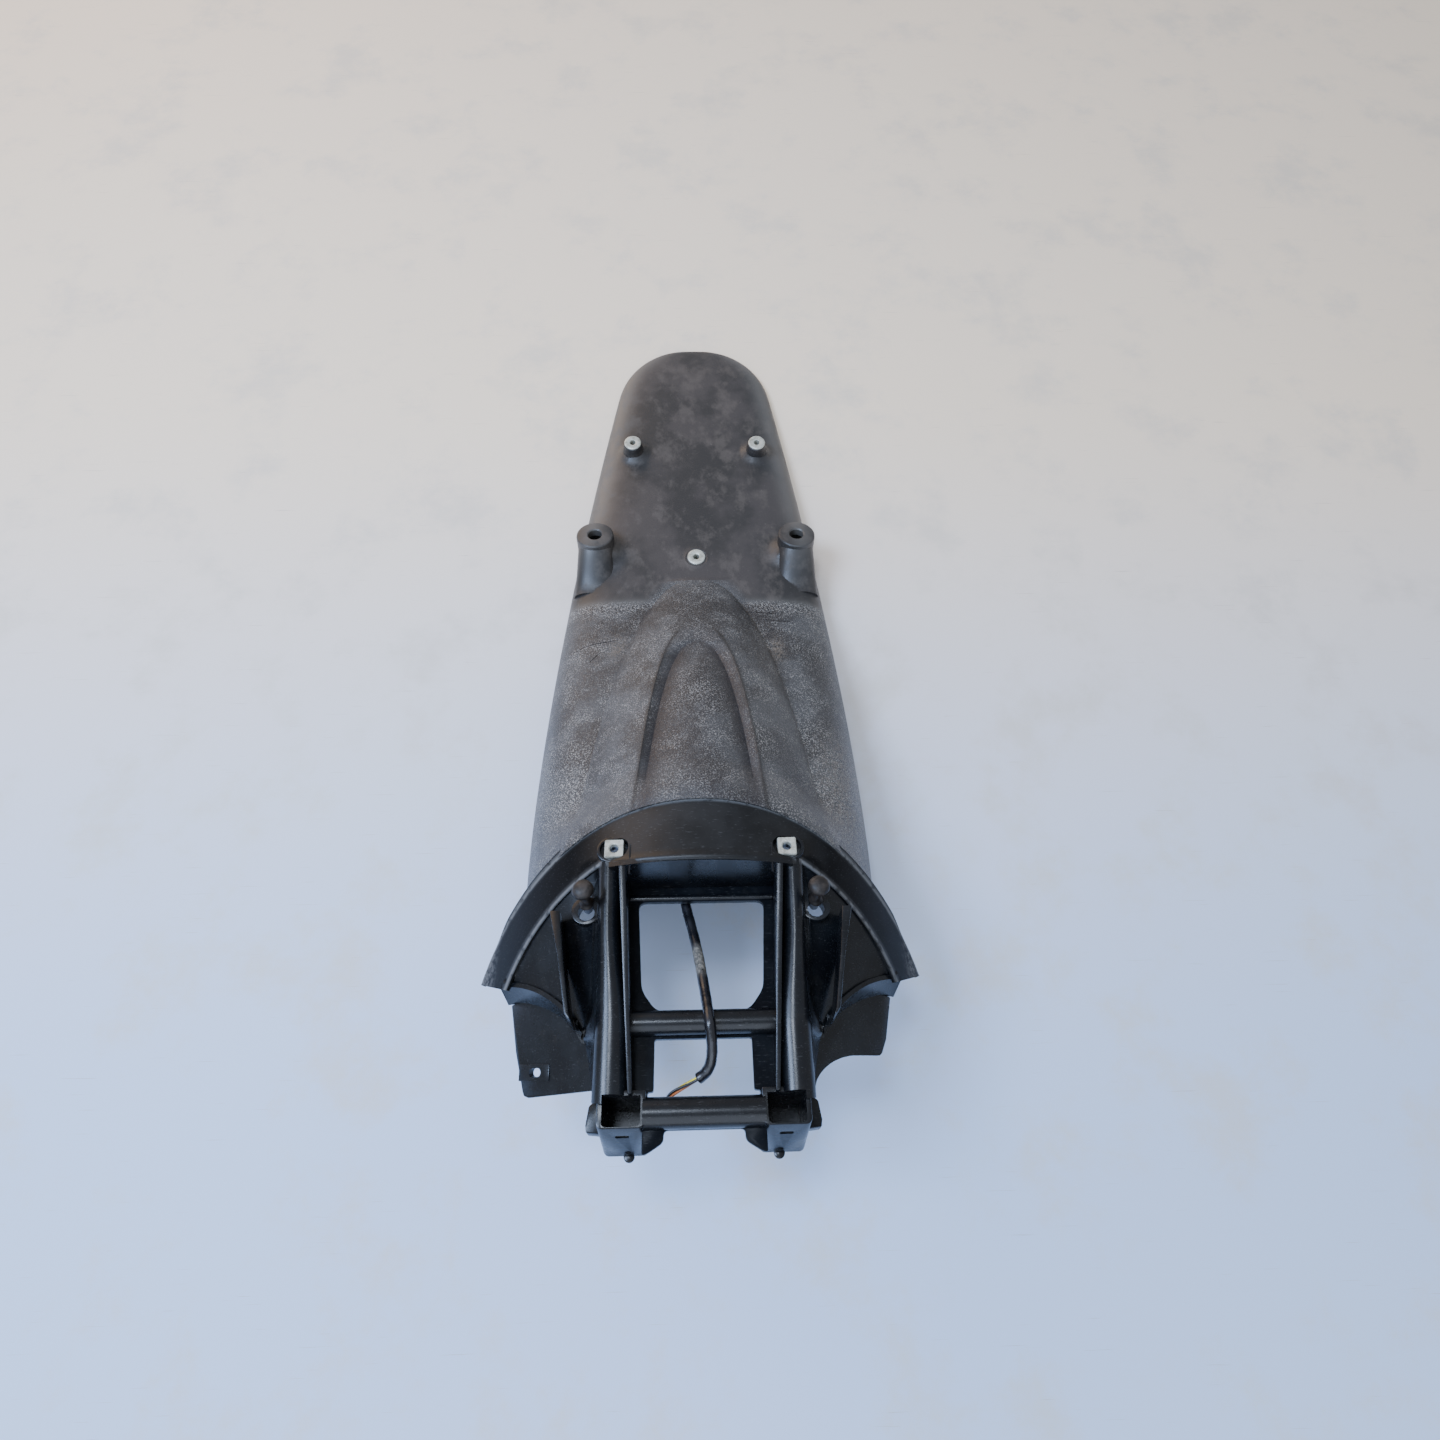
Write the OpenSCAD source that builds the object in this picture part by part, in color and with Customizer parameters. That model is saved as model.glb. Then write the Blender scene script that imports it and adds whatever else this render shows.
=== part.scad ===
/* [Channel body] */
// Distance from the front arc to the tip of the tail flap, along the centre
body_length = 477; // [440:1:520]
// Half of the width across the foot of the skirts at the front
skirt_half_width = 122; // [112:1:130]
// Half of the width across the foot of the tail flap where its round end begins
flap_half_width = 69; // [60:1:76]
// Length of the round end of the tail flap
flap_round = 62; // [45:1:75]
// Wall thickness of the moulding
wall = 3; // [2:0.5:4]
// Squareness of the channel section, where 2 is an ellipse
section_power = 4.5; // [3:0.5:7]
// How far the side walls lean in, for each millimetre of height
draft = 0.19; // [0.08:0.01:0.22]
// Height of the flap's top face at the fold in front of the lamp panel
fold_height = 36.5; // [30:0.5:45]
// Distance from the front arc to that fold
fold_from_arc = 186; // [170:1:200]
// Fall of the flap's top face for each millimetre towards the tip
flap_fall = 0.1; // [0.04:0.01:0.11]
// Rise of the side decks for each millimetre from the fold to the front
deck_rise = 0.375; // [0.25:0.005:0.42]

/* [Hump] */
// Length of the hump from the front arc to its point
hump_length = 209; // [190:1:220]
// Height of the hump's crown at the front arc
hump_height = 143; // [130:1:155]
// Half of the hump's width at the front
hump_half_width = 89; // [80:1:94]
// Length of the sunk panel on the hump
panel_length = 150; // [120:1:165]
// Half of the sunk panel's width at the front
panel_half_width = 48; // [40:1:55]
// Depth of the sunk panel along its edge
panel_depth = 5; // [2:0.5:8]
// Width of the slope round the sunk panel
panel_slope = 6.5; // [4:0.5:10]
// Height of the step from the front band up to the hump's skin
skin_step = 1.5; // [0.8:0.1:2.5]

/* [Front band] */
// Radius of the front arc, seen from above
arc_radius = 137.6; // [130:0.2:145]
// Width of the band inside the arc
band_width = 22.6; // [18:0.2:28]
// Half of the distance between the tips of the band
band_half_width = 130; // [122:1:134]
// Fall of the band from its crown to the width of the skirts
band_drop = 78; // [60:1:90]
// Distance from the crown of the arc to the straight step behind the carrier
step_from_arc = 36; // [30:1:42]
// Half of the length of that straight step
step_half_width = 47; // [42:1:52]

/* [Carrier] */
// Tilt of the carrier and of the mould's opening direction
mould_tilt = 14; // [10:1:18]
// Drop from the band's crown to the carrier's floor at the step
carrier_depth = 33.5; // [28:0.5:38]
// Half widths of the rear window at its rear and at its front
window1_half_widths = [35.2, 32.2]; // [20:0.1:40]
// Length of the rear window
window1_length = 60.3; // [52:0.1:64]
// Size of the cut corners of the rear window
window1_corner = [8, 11]; // [2:1:14]
// Half width of the front window
window2_half_width = 24.8; // [20:0.1:28]
// Length of the front window
window2_length = 27.5; // [22:0.5:32]
// Width of the rear crossbar
crossbar1_width = 12.6; // [10:0.1:16]
// Width of the front crossbar
crossbar2_width = 14.5; // [10:0.1:18]
// Distance from the centre to the outer side of each rail, at the rear and at the front
rail_outer = [57, 54.8]; // [50:0.2:60]
// Distance from the centre to the inner side of each rail, at the rear and at the front
rail_inner = [45.5, 37.5]; // [36:0.5:48]
// Distance from the centre to each inner rib, at the rear and at the front
rib_offsets = [42.8, 35.7]; // [30:0.1:48]
// Thickness of the inner ribs, at the rear and at the front
rib_thickness = [3.8, 2.3]; // [2:0.1:5]

/* [Sockets] */
// Inner width of each front socket
socket_width = 18.6; // [17:0.2:20]
// Inner length of each front socket
socket_length = 12.1; // [11:0.1:14]
// Height of each front socket
socket_height = 43; // [34:1:50]
// Distance from the centre to the middle of each socket
socket_offset = 39.9; // [39:0.1:41]
// Wall thickness of the sockets
socket_wall = 2.4; // [1.8:0.1:3]

/* [Wings] */
// Lean of the wings, falling away from the rails
wing_lean = 31; // [26:1:34]
// Height of the wings at the foot of the rails
wing_height = 120; // [116:0.5:124]
// Height of the fins over the inner end of the wings
fin_rise = 12; // [8:0.5:14]
// Width of the slot in the left wing
wing_slot_w = 4.4; // [3:0.1:6]
// Length of the slot in the left wing
wing_slot_l = 8; // [6:0.5:10]

/* [Bosses and inserts] */
// Diameter of each indicator boss
boss_d = 29; // [26:0.5:32]
// Diameter of the bore in each indicator boss
boss_bore_d = 10.8; // [8:0.1:12.5]
// Distance from the centre to each indicator boss
boss_offset = 79.2; // [76:0.1:81]
// Distance from the front arc to the indicator bosses
boss_from_arc = 244.6; // [236:0.2:252]
// Height of the indicator bosses above the base
boss_height = 44; // [40:0.5:50]
// Height of the plane on which a plate bracket sits
bracket_height = 33; // [30:0.5:38]
// Distance between the two rear bracket inserts
insert_spacing = 104.6; // [96:0.2:112]
// Distance from the front arc to the two rear inserts
rear_inserts_from_arc = 344; // [330:1:360]
// Distance from the front arc to the middle insert
middle_insert_from_arc = 231; // [220:1:240]
// Diameter of the insert's flange
insert_flange_d = 14; // [11:0.5:16]
// Thickness of the insert's flange
insert_flange_h = 1.2; // [0.8:0.1:2]
// Diameter of the insert's barrel
insert_barrel_d = 8.8; // [7:0.1:10]
// Length of the insert's barrel
insert_barrel_h = 9; // [6:0.5:11]
// Diameter of the insert's threaded bore
insert_bore_d = 4.8; // [4:0.1:6]

/* [Nuts, pegs and pins] */
// Width of each square nut
nut_width = 10.6; // [9:0.1:12]
// Thickness of each square nut
nut_height = 4; // [3:0.1:5]
// Diameter of the threaded bore of each square nut
nut_bore_d = 5; // [4:0.1:6]
// Distance from the centre to each square nut
nut_offset = 47.5; // [45:0.1:50]
// Distance of the square nuts behind the straight step
nut_from_step = 8.8; // [8:0.1:12]
// Length of the oval pocket round each nut
nut_pocket_length = 16; // [13:0.1:18]
// Width of the oval pocket round each nut
nut_pocket_width = 11.8; // [11:0.1:13]
// Diameter of the head of each rubber peg
peg_head_d = 11.6; // [10:0.2:13]
// Diameter of the stem of each rubber peg
peg_stem_d = 5; // [4:0.2:7]
// Height of each rubber peg above the panel
peg_height = 22; // [18:1:26]
// Distance from the centre to each peg
peg_offset = 62.2; // [60:0.2:64]
// Distance of the pegs from the front arc
peg_from_arc = 57.6; // [55:0.2:60]
// Diameter of the round part of each keyhole
keyhole_d = 10.8; // [9:0.2:12]
// Diameter of the shank of each front pin
pin_shank_d = 3.6; // [3:0.2:4.4]
// Diameter of the collar of each front pin
pin_collar_d = 5.6; // [5:0.2:6]

/* [Loom] */
// Diameter of the loom's sleeve
sleeve_d = 5.6; // [4.6:0.2:6.4]
// Diameter of the bundle of leads beyond the sleeve
leads_d = 3.2; // [2.4:0.2:3.8]

/* [Hidden] */
plastic = [0.20, 0.21, 0.23];
zinc = [0.82, 0.82, 0.78];
rubber = [0.12, 0.11, 0.11];

// Stations run along the part, from the centre of the tilted carrier's frame
arc_y = 129;
tip_y = arc_y + body_length;
round_y = tip_y - flap_round;
fold_y = arc_y + fold_from_arc;
hump_y = arc_y + hump_length;
arc_centre_y = arc_y - arc_radius;
inner_radius = arc_radius - band_width;
step_y = arc_y - step_from_arc;
tilt_slope = tan(mould_tilt);
boss_y = arc_y + boss_from_arc;
rear_insert_y = arc_y + rear_inserts_from_arc;
middle_insert_y = arc_y + middle_insert_from_arc;
peg_y = arc_y - peg_from_arc;

// Half width of the skirts' foot at a station
function taper(y) = skirt_half_width
    - (skirt_half_width - flap_half_width) * pow(max(0, y - arc_y + 24) / (round_y - arc_y + 24), 1.5);
function tip_round(y) = y <= round_y ? 1 : pow(max(0, 1 - pow((y - round_y) / flap_round, 2.35)), 1 / 2.35);
function half_width(y) = taper(y) * tip_round(y);

// Height of the side decks and of the flap's top face at a station
function deck_height(y) = fold_height + (y < fold_y ? (fold_y - y) * deck_rise : (fold_y - y) * flap_fall);
function base_z(x, y) = deck_height(y) * pow(tip_round(y), 0.6)
    * pow(max(0, 1 - pow(min(1, abs(x) / half_width(y)), section_power)), 1 / section_power);

// Plan of the hump and of its sunk panel at a station
function rise(y, from, length, power) = y >= from ? 0 : pow((from - y) / length, power);
function spread(y) = y <= hump_y ? 1 : (1 + min(3, (y - hump_y) / 25)) * tip_round(y);
function panel_in(y) = spread(y) * max(3, (panel_half_width - panel_slope)
    * rise(y, arc_y + panel_length - 17, panel_length - 17, 0.4));
function panel_out(y) = max(panel_in(y) + 2.5 * spread(y),
    panel_half_width * rise(y, arc_y + panel_length, panel_length, 0.36));
function hump_foot(y) = max(panel_out(y) + 5 * spread(y), hump_half_width * rise(y, hump_y, hump_length, 0.42));

// Crown of the hump, which flattens towards the front
function crown_z(y) = let (s = (hump_y - y) / hump_length)
    deck_height(hump_y) + (hump_height + skin_step - deck_height(hump_y)) * (1.18 * s - 0.18 * s * s);
function blend(s) = let (t = min(1, max(0, s))) t * t * (3 - 2 * t);
function panel_sink(x, y) = let (a = abs(x), full = panel_depth * blend((arc_y + panel_length - y) / 34))
    a >= panel_out(y) ? 0
    : a >= panel_in(y) ? full * (panel_out(y) - a) / (panel_out(y) - panel_in(y))
    : full * (1 - 0.8 * (1 - pow(a / panel_in(y), 2)) * blend((arc_y + panel_length - 17 - y) / 22));
function band_z(x, y) = hump_height + (arc_y - 2 - y) * tilt_slope - band_drop * pow(abs(x) / skirt_half_width, 2.2);
function hump_z(x, y) = let (
    s = min(1, (hump_y - y) / hump_length),
    foot = hump_foot(y), at_foot = base_z(foot, y),
    a = 2.5 - 0.3 * s, b = 1.7 - 0.7 * s)
    y >= hump_y ? base_z(x, y)
    : at_foot + (crown_z(y) - at_foot) * pow(max(0, 1 - pow(abs(x) / foot, a)), 1 / b) - panel_sink(x, y);

// Columns across one half of the skin, from the centre to the foot of the skirt
HUMP_PARTS = [0.27, 0.52, 0.75, 0.92, 1];
SIDE_STEPS = 6;
COLUMNS = 4 + len(HUMP_PARTS) + SIDE_STEPS;
function column_angle(y, part) = let (a = acos(pow(min(1, hump_foot(y) / half_width(y)), section_power / 2)))
    a * (1 - part);
function column_x(k, y) =
    k < 2 ? panel_in(y) * k / 2
    : k == 2 ? panel_in(y)
    : k == 3 ? panel_out(y)
    : k < 4 + len(HUMP_PARTS) ? panel_out(y) + (hump_foot(y) - panel_out(y)) * HUMP_PARTS[k - 4]
    : half_width(y) * pow(cos(column_angle(y, (k - 3 - len(HUMP_PARTS)) / SIDE_STEPS)), 2 / section_power);

// Rows along the skin: they follow the front arc at first and straighten towards the tail
FRONT_ROWS = 13;
FLAP_ROWS = 7;
TIP_ROWS = [0.35, 0.6, 0.79, 0.91, 0.97, 0.995];
ROWS = [
    for (i = [0 : FRONT_ROWS]) arc_y + (hump_y - arc_y) * i / FRONT_ROWS,
    for (i = [1 : FLAP_ROWS]) hump_y + (round_y - hump_y) * i / FLAP_ROWS,
    for (t = TIP_ROWS) round_y + flap_round * t];
function arc_fall(x) = arc_radius - sqrt(arc_radius * arc_radius - pow(min(abs(x), skirt_half_width), 2));
function sweep(y) = pow(max(0, (arc_y + 0.7 * hump_length - y) / (0.7 * hump_length)), 1.2);

// One point of the skin's outer face, on the half where x is positive: [x, y, z] before the front edge
// is drawn in, with the station y found by steps because the columns lean with their height
function free_point(k, y) = let (
    x = column_x(k, y), z = k < 4 + len(HUMP_PARTS) ? hump_z(x, y) : base_z(x, y))
    [x * (1 - draft * z / half_width(y)), y, z];
function station(k, row, y, tries) = tries == 0 ? y
    : station(k, row, row - sweep(row) * arc_fall(free_point(k, y).x), tries - 1);
function skin_point(k, row) = let (
    p = free_point(k, station(k, row, row, 4)),
    gap = band_z(p.x, p.y) + skin_step - p.z,
    near = blend(1 - (row - arc_y) / 30),
    side = max(0, k - 3 - len(HUMP_PARTS)) / SIDE_STEPS,
    z = p.z + (gap > 0 ? gap * pow(1 - side, 1.6) : gap) * near)
    [p.x, p.y, k == COLUMNS - 1 ? 0 : z];

function mirrored(half) = [
    for (r = half) concat([for (k = [len(r) - 1 : -1 : 1]) [-r[k].x, r[k].y, r[k].z]], r)];
function skin_grid() = mirrored([for (row = ROWS) [for (k = [0 : COLUMNS - 1]) skin_point(k, row)]]);

// The inner face of a sheet: each point moved by the wall along the sheet's own normal
function unit(v) = v / max(norm(v), 1e-6);
function sheet_normal(g, i, j) = let (
    a = g[min(i + 1, len(g) - 1)][j] - g[max(i - 1, 0)][j],
    b = g[i][min(j + 1, len(g[0]) - 1)] - g[i][max(j - 1, 0)])
    unit(cross(b, a));
function inner_sheet(g, t, floor_edges) = [
    for (i = [0 : len(g) - 1]) [
        for (j = [0 : len(g[0]) - 1]) let (
            p = g[i][j] - t * sheet_normal(g, i, j),
            on_floor = floor_edges && (j == 0 || j == len(g[0]) - 1))
            on_floor ? [p.x, min(p.y, tip_y - 0.4), 0]
            : floor_edges ? [p.x, min(p.y, tip_y - 0.4), max(p.z, 0.6)] : p]];

// A closed sheet between an outer and an inner grid of points
module sheet(outer, inner) {
    nr = len(outer);
    nc = len(outer[0]);
    half = nr * nc;
    function at(i, j) = i * nc + j;
    points = [for (r = outer) each r, for (r = inner) each r];
    faces = [
        for (i = [0 : nr - 2]) for (j = [0 : nc - 2]) each [
            [at(i, j), at(i + 1, j), at(i + 1, j + 1)],
            [at(i, j), at(i + 1, j + 1), at(i, j + 1)],
            [half + at(i, j), half + at(i + 1, j + 1), half + at(i + 1, j)],
            [half + at(i, j), half + at(i, j + 1), half + at(i + 1, j + 1)]],
        for (i = [0 : nr - 2]) each [
            [at(i, 0), half + at(i, 0), half + at(i + 1, 0)],
            [at(i, 0), half + at(i + 1, 0), at(i + 1, 0)],
            [at(i, nc - 1), half + at(i + 1, nc - 1), half + at(i, nc - 1)],
            [at(i, nc - 1), at(i + 1, nc - 1), half + at(i + 1, nc - 1)]],
        for (j = [0 : nc - 2]) each [
            [at(0, j), half + at(0, j + 1), half + at(0, j)],
            [at(0, j), at(0, j + 1), half + at(0, j + 1)],
            [at(nr - 1, j), half + at(nr - 1, j), half + at(nr - 1, j + 1)],
            [at(nr - 1, j), half + at(nr - 1, j + 1), at(nr - 1, j + 1)]]];
    polyhedron(points, faces, convexity = 10);
}

module skin() {
    g = skin_grid();
    sheet(g, inner_sheet(g, wall, true));
}

// The tilted frame of the mould: its floor passes through the lip behind the rear window
lip_y = step_y - 16;
lip_z = band_z(0, step_y) - carrier_depth;
function local_v(y, z) = (y - lip_y) * cos(mould_tilt) - (z - lip_z) * sin(mould_tilt);
function local_w(y, z) = (y - lip_y) * sin(mould_tilt) + (z - lip_z) * cos(mould_tilt);
function floor_z(y) = lip_z + (lip_y - y) * tilt_slope;
module tilted() translate([0, lip_y, lip_z]) rotate([-mould_tilt, 0, 0]) children();
module both() {
    children();
    mirror([1, 0, 0]) children();
}

// The smooth band inside the front arc, with its straight step in the middle
BAND_STEPS = 16;
BAND_ROWS = [-1, 0, 1];
tip_angle = asin(band_half_width / arc_radius);
function band_point(i, f) = let (
    back = f < 0 ? 4.5 * blend((tip_angle * (1 - i / BAND_STEPS) - 9) / 6) : 0,
    a = tip_angle * i / BAND_STEPS,
    outer = [arc_radius * sin(a), arc_centre_y + arc_radius * cos(a)],
    b = a * 0.985,
    free = [inner_radius * sin(b), arc_centre_y + inner_radius * cos(b)],
    inner = [free.x, min(free.y, step_y)],
    p = outer + (inner - outer) * max(0, f) + [0, back])
    [p.x, p.y, band_z(p.x, p.y) - (f < 0 ? 0.2 : 0)];
function band_grid() = mirrored([
    for (f = [len(BAND_ROWS) - 1 : -1 : 0]) [for (i = [0 : BAND_STEPS]) band_point(i, BAND_ROWS[f])]]);
module band() {
    g = band_grid();
    sheet(g, inner_sheet(g, wall, false));
}

// Heights of the rails' backs, of the ribs and of the panels beside the rails
function rail_top(y) = band_z(0, step_y) - 10.5 + 0.1 * (step_y - 3 - y);
function rib_top(y) = rail_top(y) + 4 - 0.03 * (step_y - 3 - y);
function fin_top(x) = wing_height + fin_rise + 0.5 - 0.63 * (abs(x) - 62);
function mix(a, b, t) = a + (b - a) * min(1, max(0, t));

// Feet of the rail and fin, seen from above: the inner edge of each side panel
PANEL_FEET = [
    [107.5, 32], [97.4, 31.5], [87.8, 28.2], [78.4, 22.7], [71.8, 17.2], [64.5, 8.5],
    [59.6, 16], [58.7, 32], [58.4, 50], [58.4, 68], [57.4, 84], [52, 94]];
PANEL_ANGLES = [68.2, 64.5, 59.5, 54, 49.5, 45.5, 42, 38, 34, 30.5, 28, 26.2];
PANEL_ROWS = [0, 1];
function panel_point(k, f) = let (
    r = inner_radius + 1.6,
    outer = [r * sin(PANEL_ANGLES[k]), arc_centre_y + r * cos(PANEL_ANGLES[k])],
    p = PANEL_FEET[k] + (outer - PANEL_FEET[k]) * f,
    at_arc = band_z(outer.x, outer.y) - 3,
    at_foot = fin_top(PANEL_FEET[k].x) + (k > 5 ? 0 : -1.5))
    [p.x, p.y, at_foot + (at_arc - at_foot) * f];
module side_panel() {
    g = [for (k = [0 : len(PANEL_FEET) - 1]) [for (f = PANEL_ROWS) panel_point(k, f)]];
    sheet(g, inner_sheet(g, wall, false));
}

// The rails: hollow ridges from the band to the sockets
RAIL_ROWS = [-24, -14, -4, 5, 14, 22, 31, 40, 52, 70, 94.9];
function rail_profile(y) = let (
    t = (96 - y) / 110,
    top = rail_top(y),
    foot_z = y > 4 ? wing_height + fin_rise : wing_height + 3,
    xo = mix(rail_outer[0], rail_outer[1], t * 2.2),
    xi = mix(rail_inner[0], rail_inner[1], blend((46 - y) / 24)),
    xf = y > 20 ? 58.8 : y > 4 ? mix(58.8, 61.5, (20 - y) / 16) : mix(61.5, 57, (4 - y) / 24),
    low = floor_z(y) - 2)
    [[xi - 1.2, y, min(low, top - 12)], [xi - 0.3, y, mix(low, top - 7, 0.72)], [xi, y, top - 6],
     [xi + 0.8, y, top - 3], [xi + 3, y, top - 0.8], [(xi + xo) / 2, y, top], [xo - 3, y, top - 0.8],
     [xo - 0.8, y, top - 3], [xo, y, top - 6], [mix(xo, xf, 0.6), y, mix(top - 6, foot_z, 0.62)], [xf, y, foot_z]];
module rail() {
    g = [for (y = RAIL_ROWS) rail_profile(y)];
    sheet(g, inner_sheet(g, wall, false));
}

// The carrier's floor with its two windows, as it lies in the tilted frame
bar1_v = -1 - window1_length - crossbar1_width / 2;
window2_v = -1 - window1_length - crossbar1_width - 1.2;
bar2_v = window2_v - window2_length - crossbar2_width / 2;
leg_v = bar2_v - crossbar2_width / 2;
module floor_outline() polygon([
    [-46, 11], [46, 11], [45, -40], [40, -60], [40, leg_v + 10], [30, leg_v + 10], [30, leg_v - 10.5],
    [27, leg_v - 9.5], [19.6, leg_v - 5], [19.6, leg_v], [-19.6, leg_v], [-19.6, leg_v - 5],
    [-27, leg_v - 9.5], [-30, leg_v - 10.5], [-30, leg_v + 10], [-40, leg_v + 10], [-40, -60], [-45, -40]]);
module window1() {
    r = window1_half_widths;
    l = window1_length;
    c = window1_corner;
    polygon([[-r[0], -1], [r[0], -1], [r[1], c[1] - l - 1], [r[1] - c[0], -l - 1],
        [c[0] - r[1], -l - 1], [-r[1], c[1] - l - 1]]);
}
module window2() {
    w = window2_half_width;
    translate([-w, window2_v - window2_length]) square([2 * w, window2_length]);
    translate([-w - 3, window2_v - window2_length]) square([2 * w + 6, 2.6]);
}
module carrier_floor() translate([0, 0, -wall]) linear_extrude(wall) difference() {
    floor_outline();
    window1();
    window2();
}
module crossbar(v, r, half) translate([-half, v, r * 0.16]) rotate([0, 90, 0]) difference() {
    cylinder(h = 2 * half, r = r, $fn = 24);
    translate([r * 0.16 + wall, -r - 1, -1]) cube([2 * r, 2 * r + 2, 2 * half + 2]);
}
module crossbar_hollow(v, r, half) translate([-half, v, r * 0.16]) rotate([0, 90, 0]) {
    cylinder(h = 2 * half, r = r - 2.8, $fn = 20);
    translate([0, 2.8 - r, 0]) cube([2 * r, 2 * r - 5.6, 2 * half]);
}

// The wall under the straight step
step_v = local_v(step_y, band_z(0, step_y));
step_w = local_w(step_y, band_z(0, step_y));
module step_wall() translate([0, step_v, 0]) intersection() {
    translate([-step_half_width - 3, 0, -wall]) cube([2 * step_half_width + 6, wall, step_w + wall]);
    translate([0, -1, step_w - 1.2 - 185]) rotate([-90, 0, 0]) cylinder(h = wall + 2, r = 185, $fn = 72);
}

// The ribs beside the windows, cut to one sloping top
module inner_rib() let (
    v0 = local_v(step_y + 1, rib_top(step_y)), v1 = local_v(-20, rib_top(-20)),
    a = rib_thickness[0] / 2, b = rib_thickness[1] / 2)
    difference() {
        tilted() translate([0, 0, -wall]) linear_extrude(50) polygon([
            [rib_offsets[0] - a, v0], [rib_offsets[0] + a, v0], [rib_offsets[1] + b, v1], [rib_offsets[1] - b, v1]]);
        translate([0, -40, rib_top(-40)]) rotate([-atan(0.07), 0, 0]) translate([20, -20, 0]) cube([50, 180, 50]);
    }
module outer_rib() let (
    v0 = local_v(68, 135), v1 = local_v(43.5, 137.5), v2 = local_v(13.5, 138))
    tilted() translate([0, 0, -2]) linear_extrude(21) polygon([
        [75.6, v0], [81, v0], [74.8, v1], [68.8, v2], [66.6, v2 - 3], [65.4, v2 - 3], [66.6, v2], [72.2, v1]]);

// The sockets at the front of the carrier
socket_v = local_v(-17.6, 152);
socket_top = local_w(-35, 152);
module socket_block(grow, low, high) let (
    w = socket_width / 2 + grow, back = socket_v + grow - socket_wall,
    front = back - socket_length - 2 * grow, lean = 5.8 * (high - low) / socket_height)
    intersection() {
        translate([socket_offset - w, 0, 0]) rotate([90, 0, 90]) linear_extrude(2 * w)
            polygon([[back, low], [back, high], [front, high], [front - lean, low]]);
        translate([socket_offset, 0, low - 1]) linear_extrude(high - low + 2) union() {
            translate([-w, front + 3]) square([2 * w, 40]);
            translate([-w + 3, front - 20]) square([2 * w - 6, 60]);
            for (x = [-w + 3, w - 3]) translate([x, front + 3]) circle(r = 3, $fn = 20);
            translate([-w, front - 20]) square([2 * w, 14]);
        }
    }
module socket_cut() socket_block(0, socket_top - socket_height + socket_wall, socket_top + 12);
module socket() difference() {
    socket_block(socket_wall, socket_top - socket_height, socket_top);
    translate([socket_offset - 3.4, socket_v - 40, socket_top - 9]) cube([7, 20, 2.2]);
}
module tab() translate([0, 0, -29]) linear_extrude(9) polygon([
    [50, local_v(-20, 118)], [58.6, local_v(-28, 118)], [59.8, local_v(-37, 118)],
    [59.2, local_v(-40.5, 118)], [50, local_v(-41.5, 118)]]);

// The wings beside the rails, each a flat plate leaning away from its rail
LEFT_WING = [
    [107.5, 24], [102.8, -0.8], [97.2, -20.4], [93.6, -23.3], [58.2, -19.8], [55, -19.8], [60, 4], [64.3, 6],
    [68.9, 11], [76.4, 18], [87.7, 23.2], [99.1, 26]];
RIGHT_WING = [
    [107.5, 24], [102.3, 1.8], [99, -5.2], [95.6, -6.6], [81.6, -6.2], [75.6, -6.8], [70.6, -8.2], [66.6, -10],
    [63.2, -12.3], [60.4, -15], [58.5, -17.9], [57.3, -22.1], [54, -22.1], [60, 4], [64.3, 6],
    [68.9, 11], [76.4, 18], [87.7, 23.2], [99.1, 26]];
module on_wing() translate([64, 0, wing_height]) rotate([0, wing_lean, 0]) children();
function wing_plan(list) = [for (p = list) [(p.x - 64) / cos(wing_lean), p.y]];
module wing(list) on_wing() translate([0, 0, -wall]) linear_extrude(wall) polygon(wing_plan(list));
module clip_pad() on_wing() translate([20.4, -15, -1]) cube([21, 8.4, 1.7]);
module wing_slot() on_wing() translate([30.2, -10.8, -wall - 2]) linear_extrude(wall + 6) {
    square([wing_slot_l - wing_slot_w, wing_slot_w], center = true);
    for (x = [-1, 1]) translate([x * (wing_slot_l - wing_slot_w) / 2, 0]) circle(d = wing_slot_w, $fn = 16);
}

// The fins between the wings and the side panels
FIN = [[62.6, 5.6], [68.7, 13.4], [73.2, 18.6], [78.6, 22.8], [87.8, 28.2], [97.4, 31.6], [106.4, 33], [112.4, 32.4]];
FIN_FOOT = [[62, 2.5], [68.3, 8.4], [72.2, 12.6], [76.8, 16.4], [87, 21.2], [98.4, 24.2], [106.6, 24.4], [109.6, 24.2]];
function wing_z(x) = wing_height - (x - 64) * tan(wing_lean);
module fin() sheet(
    [for (f = [0, 1]) [for (k = [0 : len(FIN) - 1]) let (a = FIN_FOOT[k], b = FIN[k])
        f == 0 ? [a.x, a.y, wing_z(a.x) - 1] : [b.x, b.y, fin_top(b.x) + 1]]],
    [for (f = [0, 1]) [for (k = [0 : len(FIN) - 1]) let (a = FIN_FOOT[k], b = FIN[k])
        f == 0 ? [a.x, a.y + 3.4, wing_z(a.x) - 1.6] : [b.x - 0.4, b.y + 2.4, fin_top(b.x) + 0.6]]]);

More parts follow.
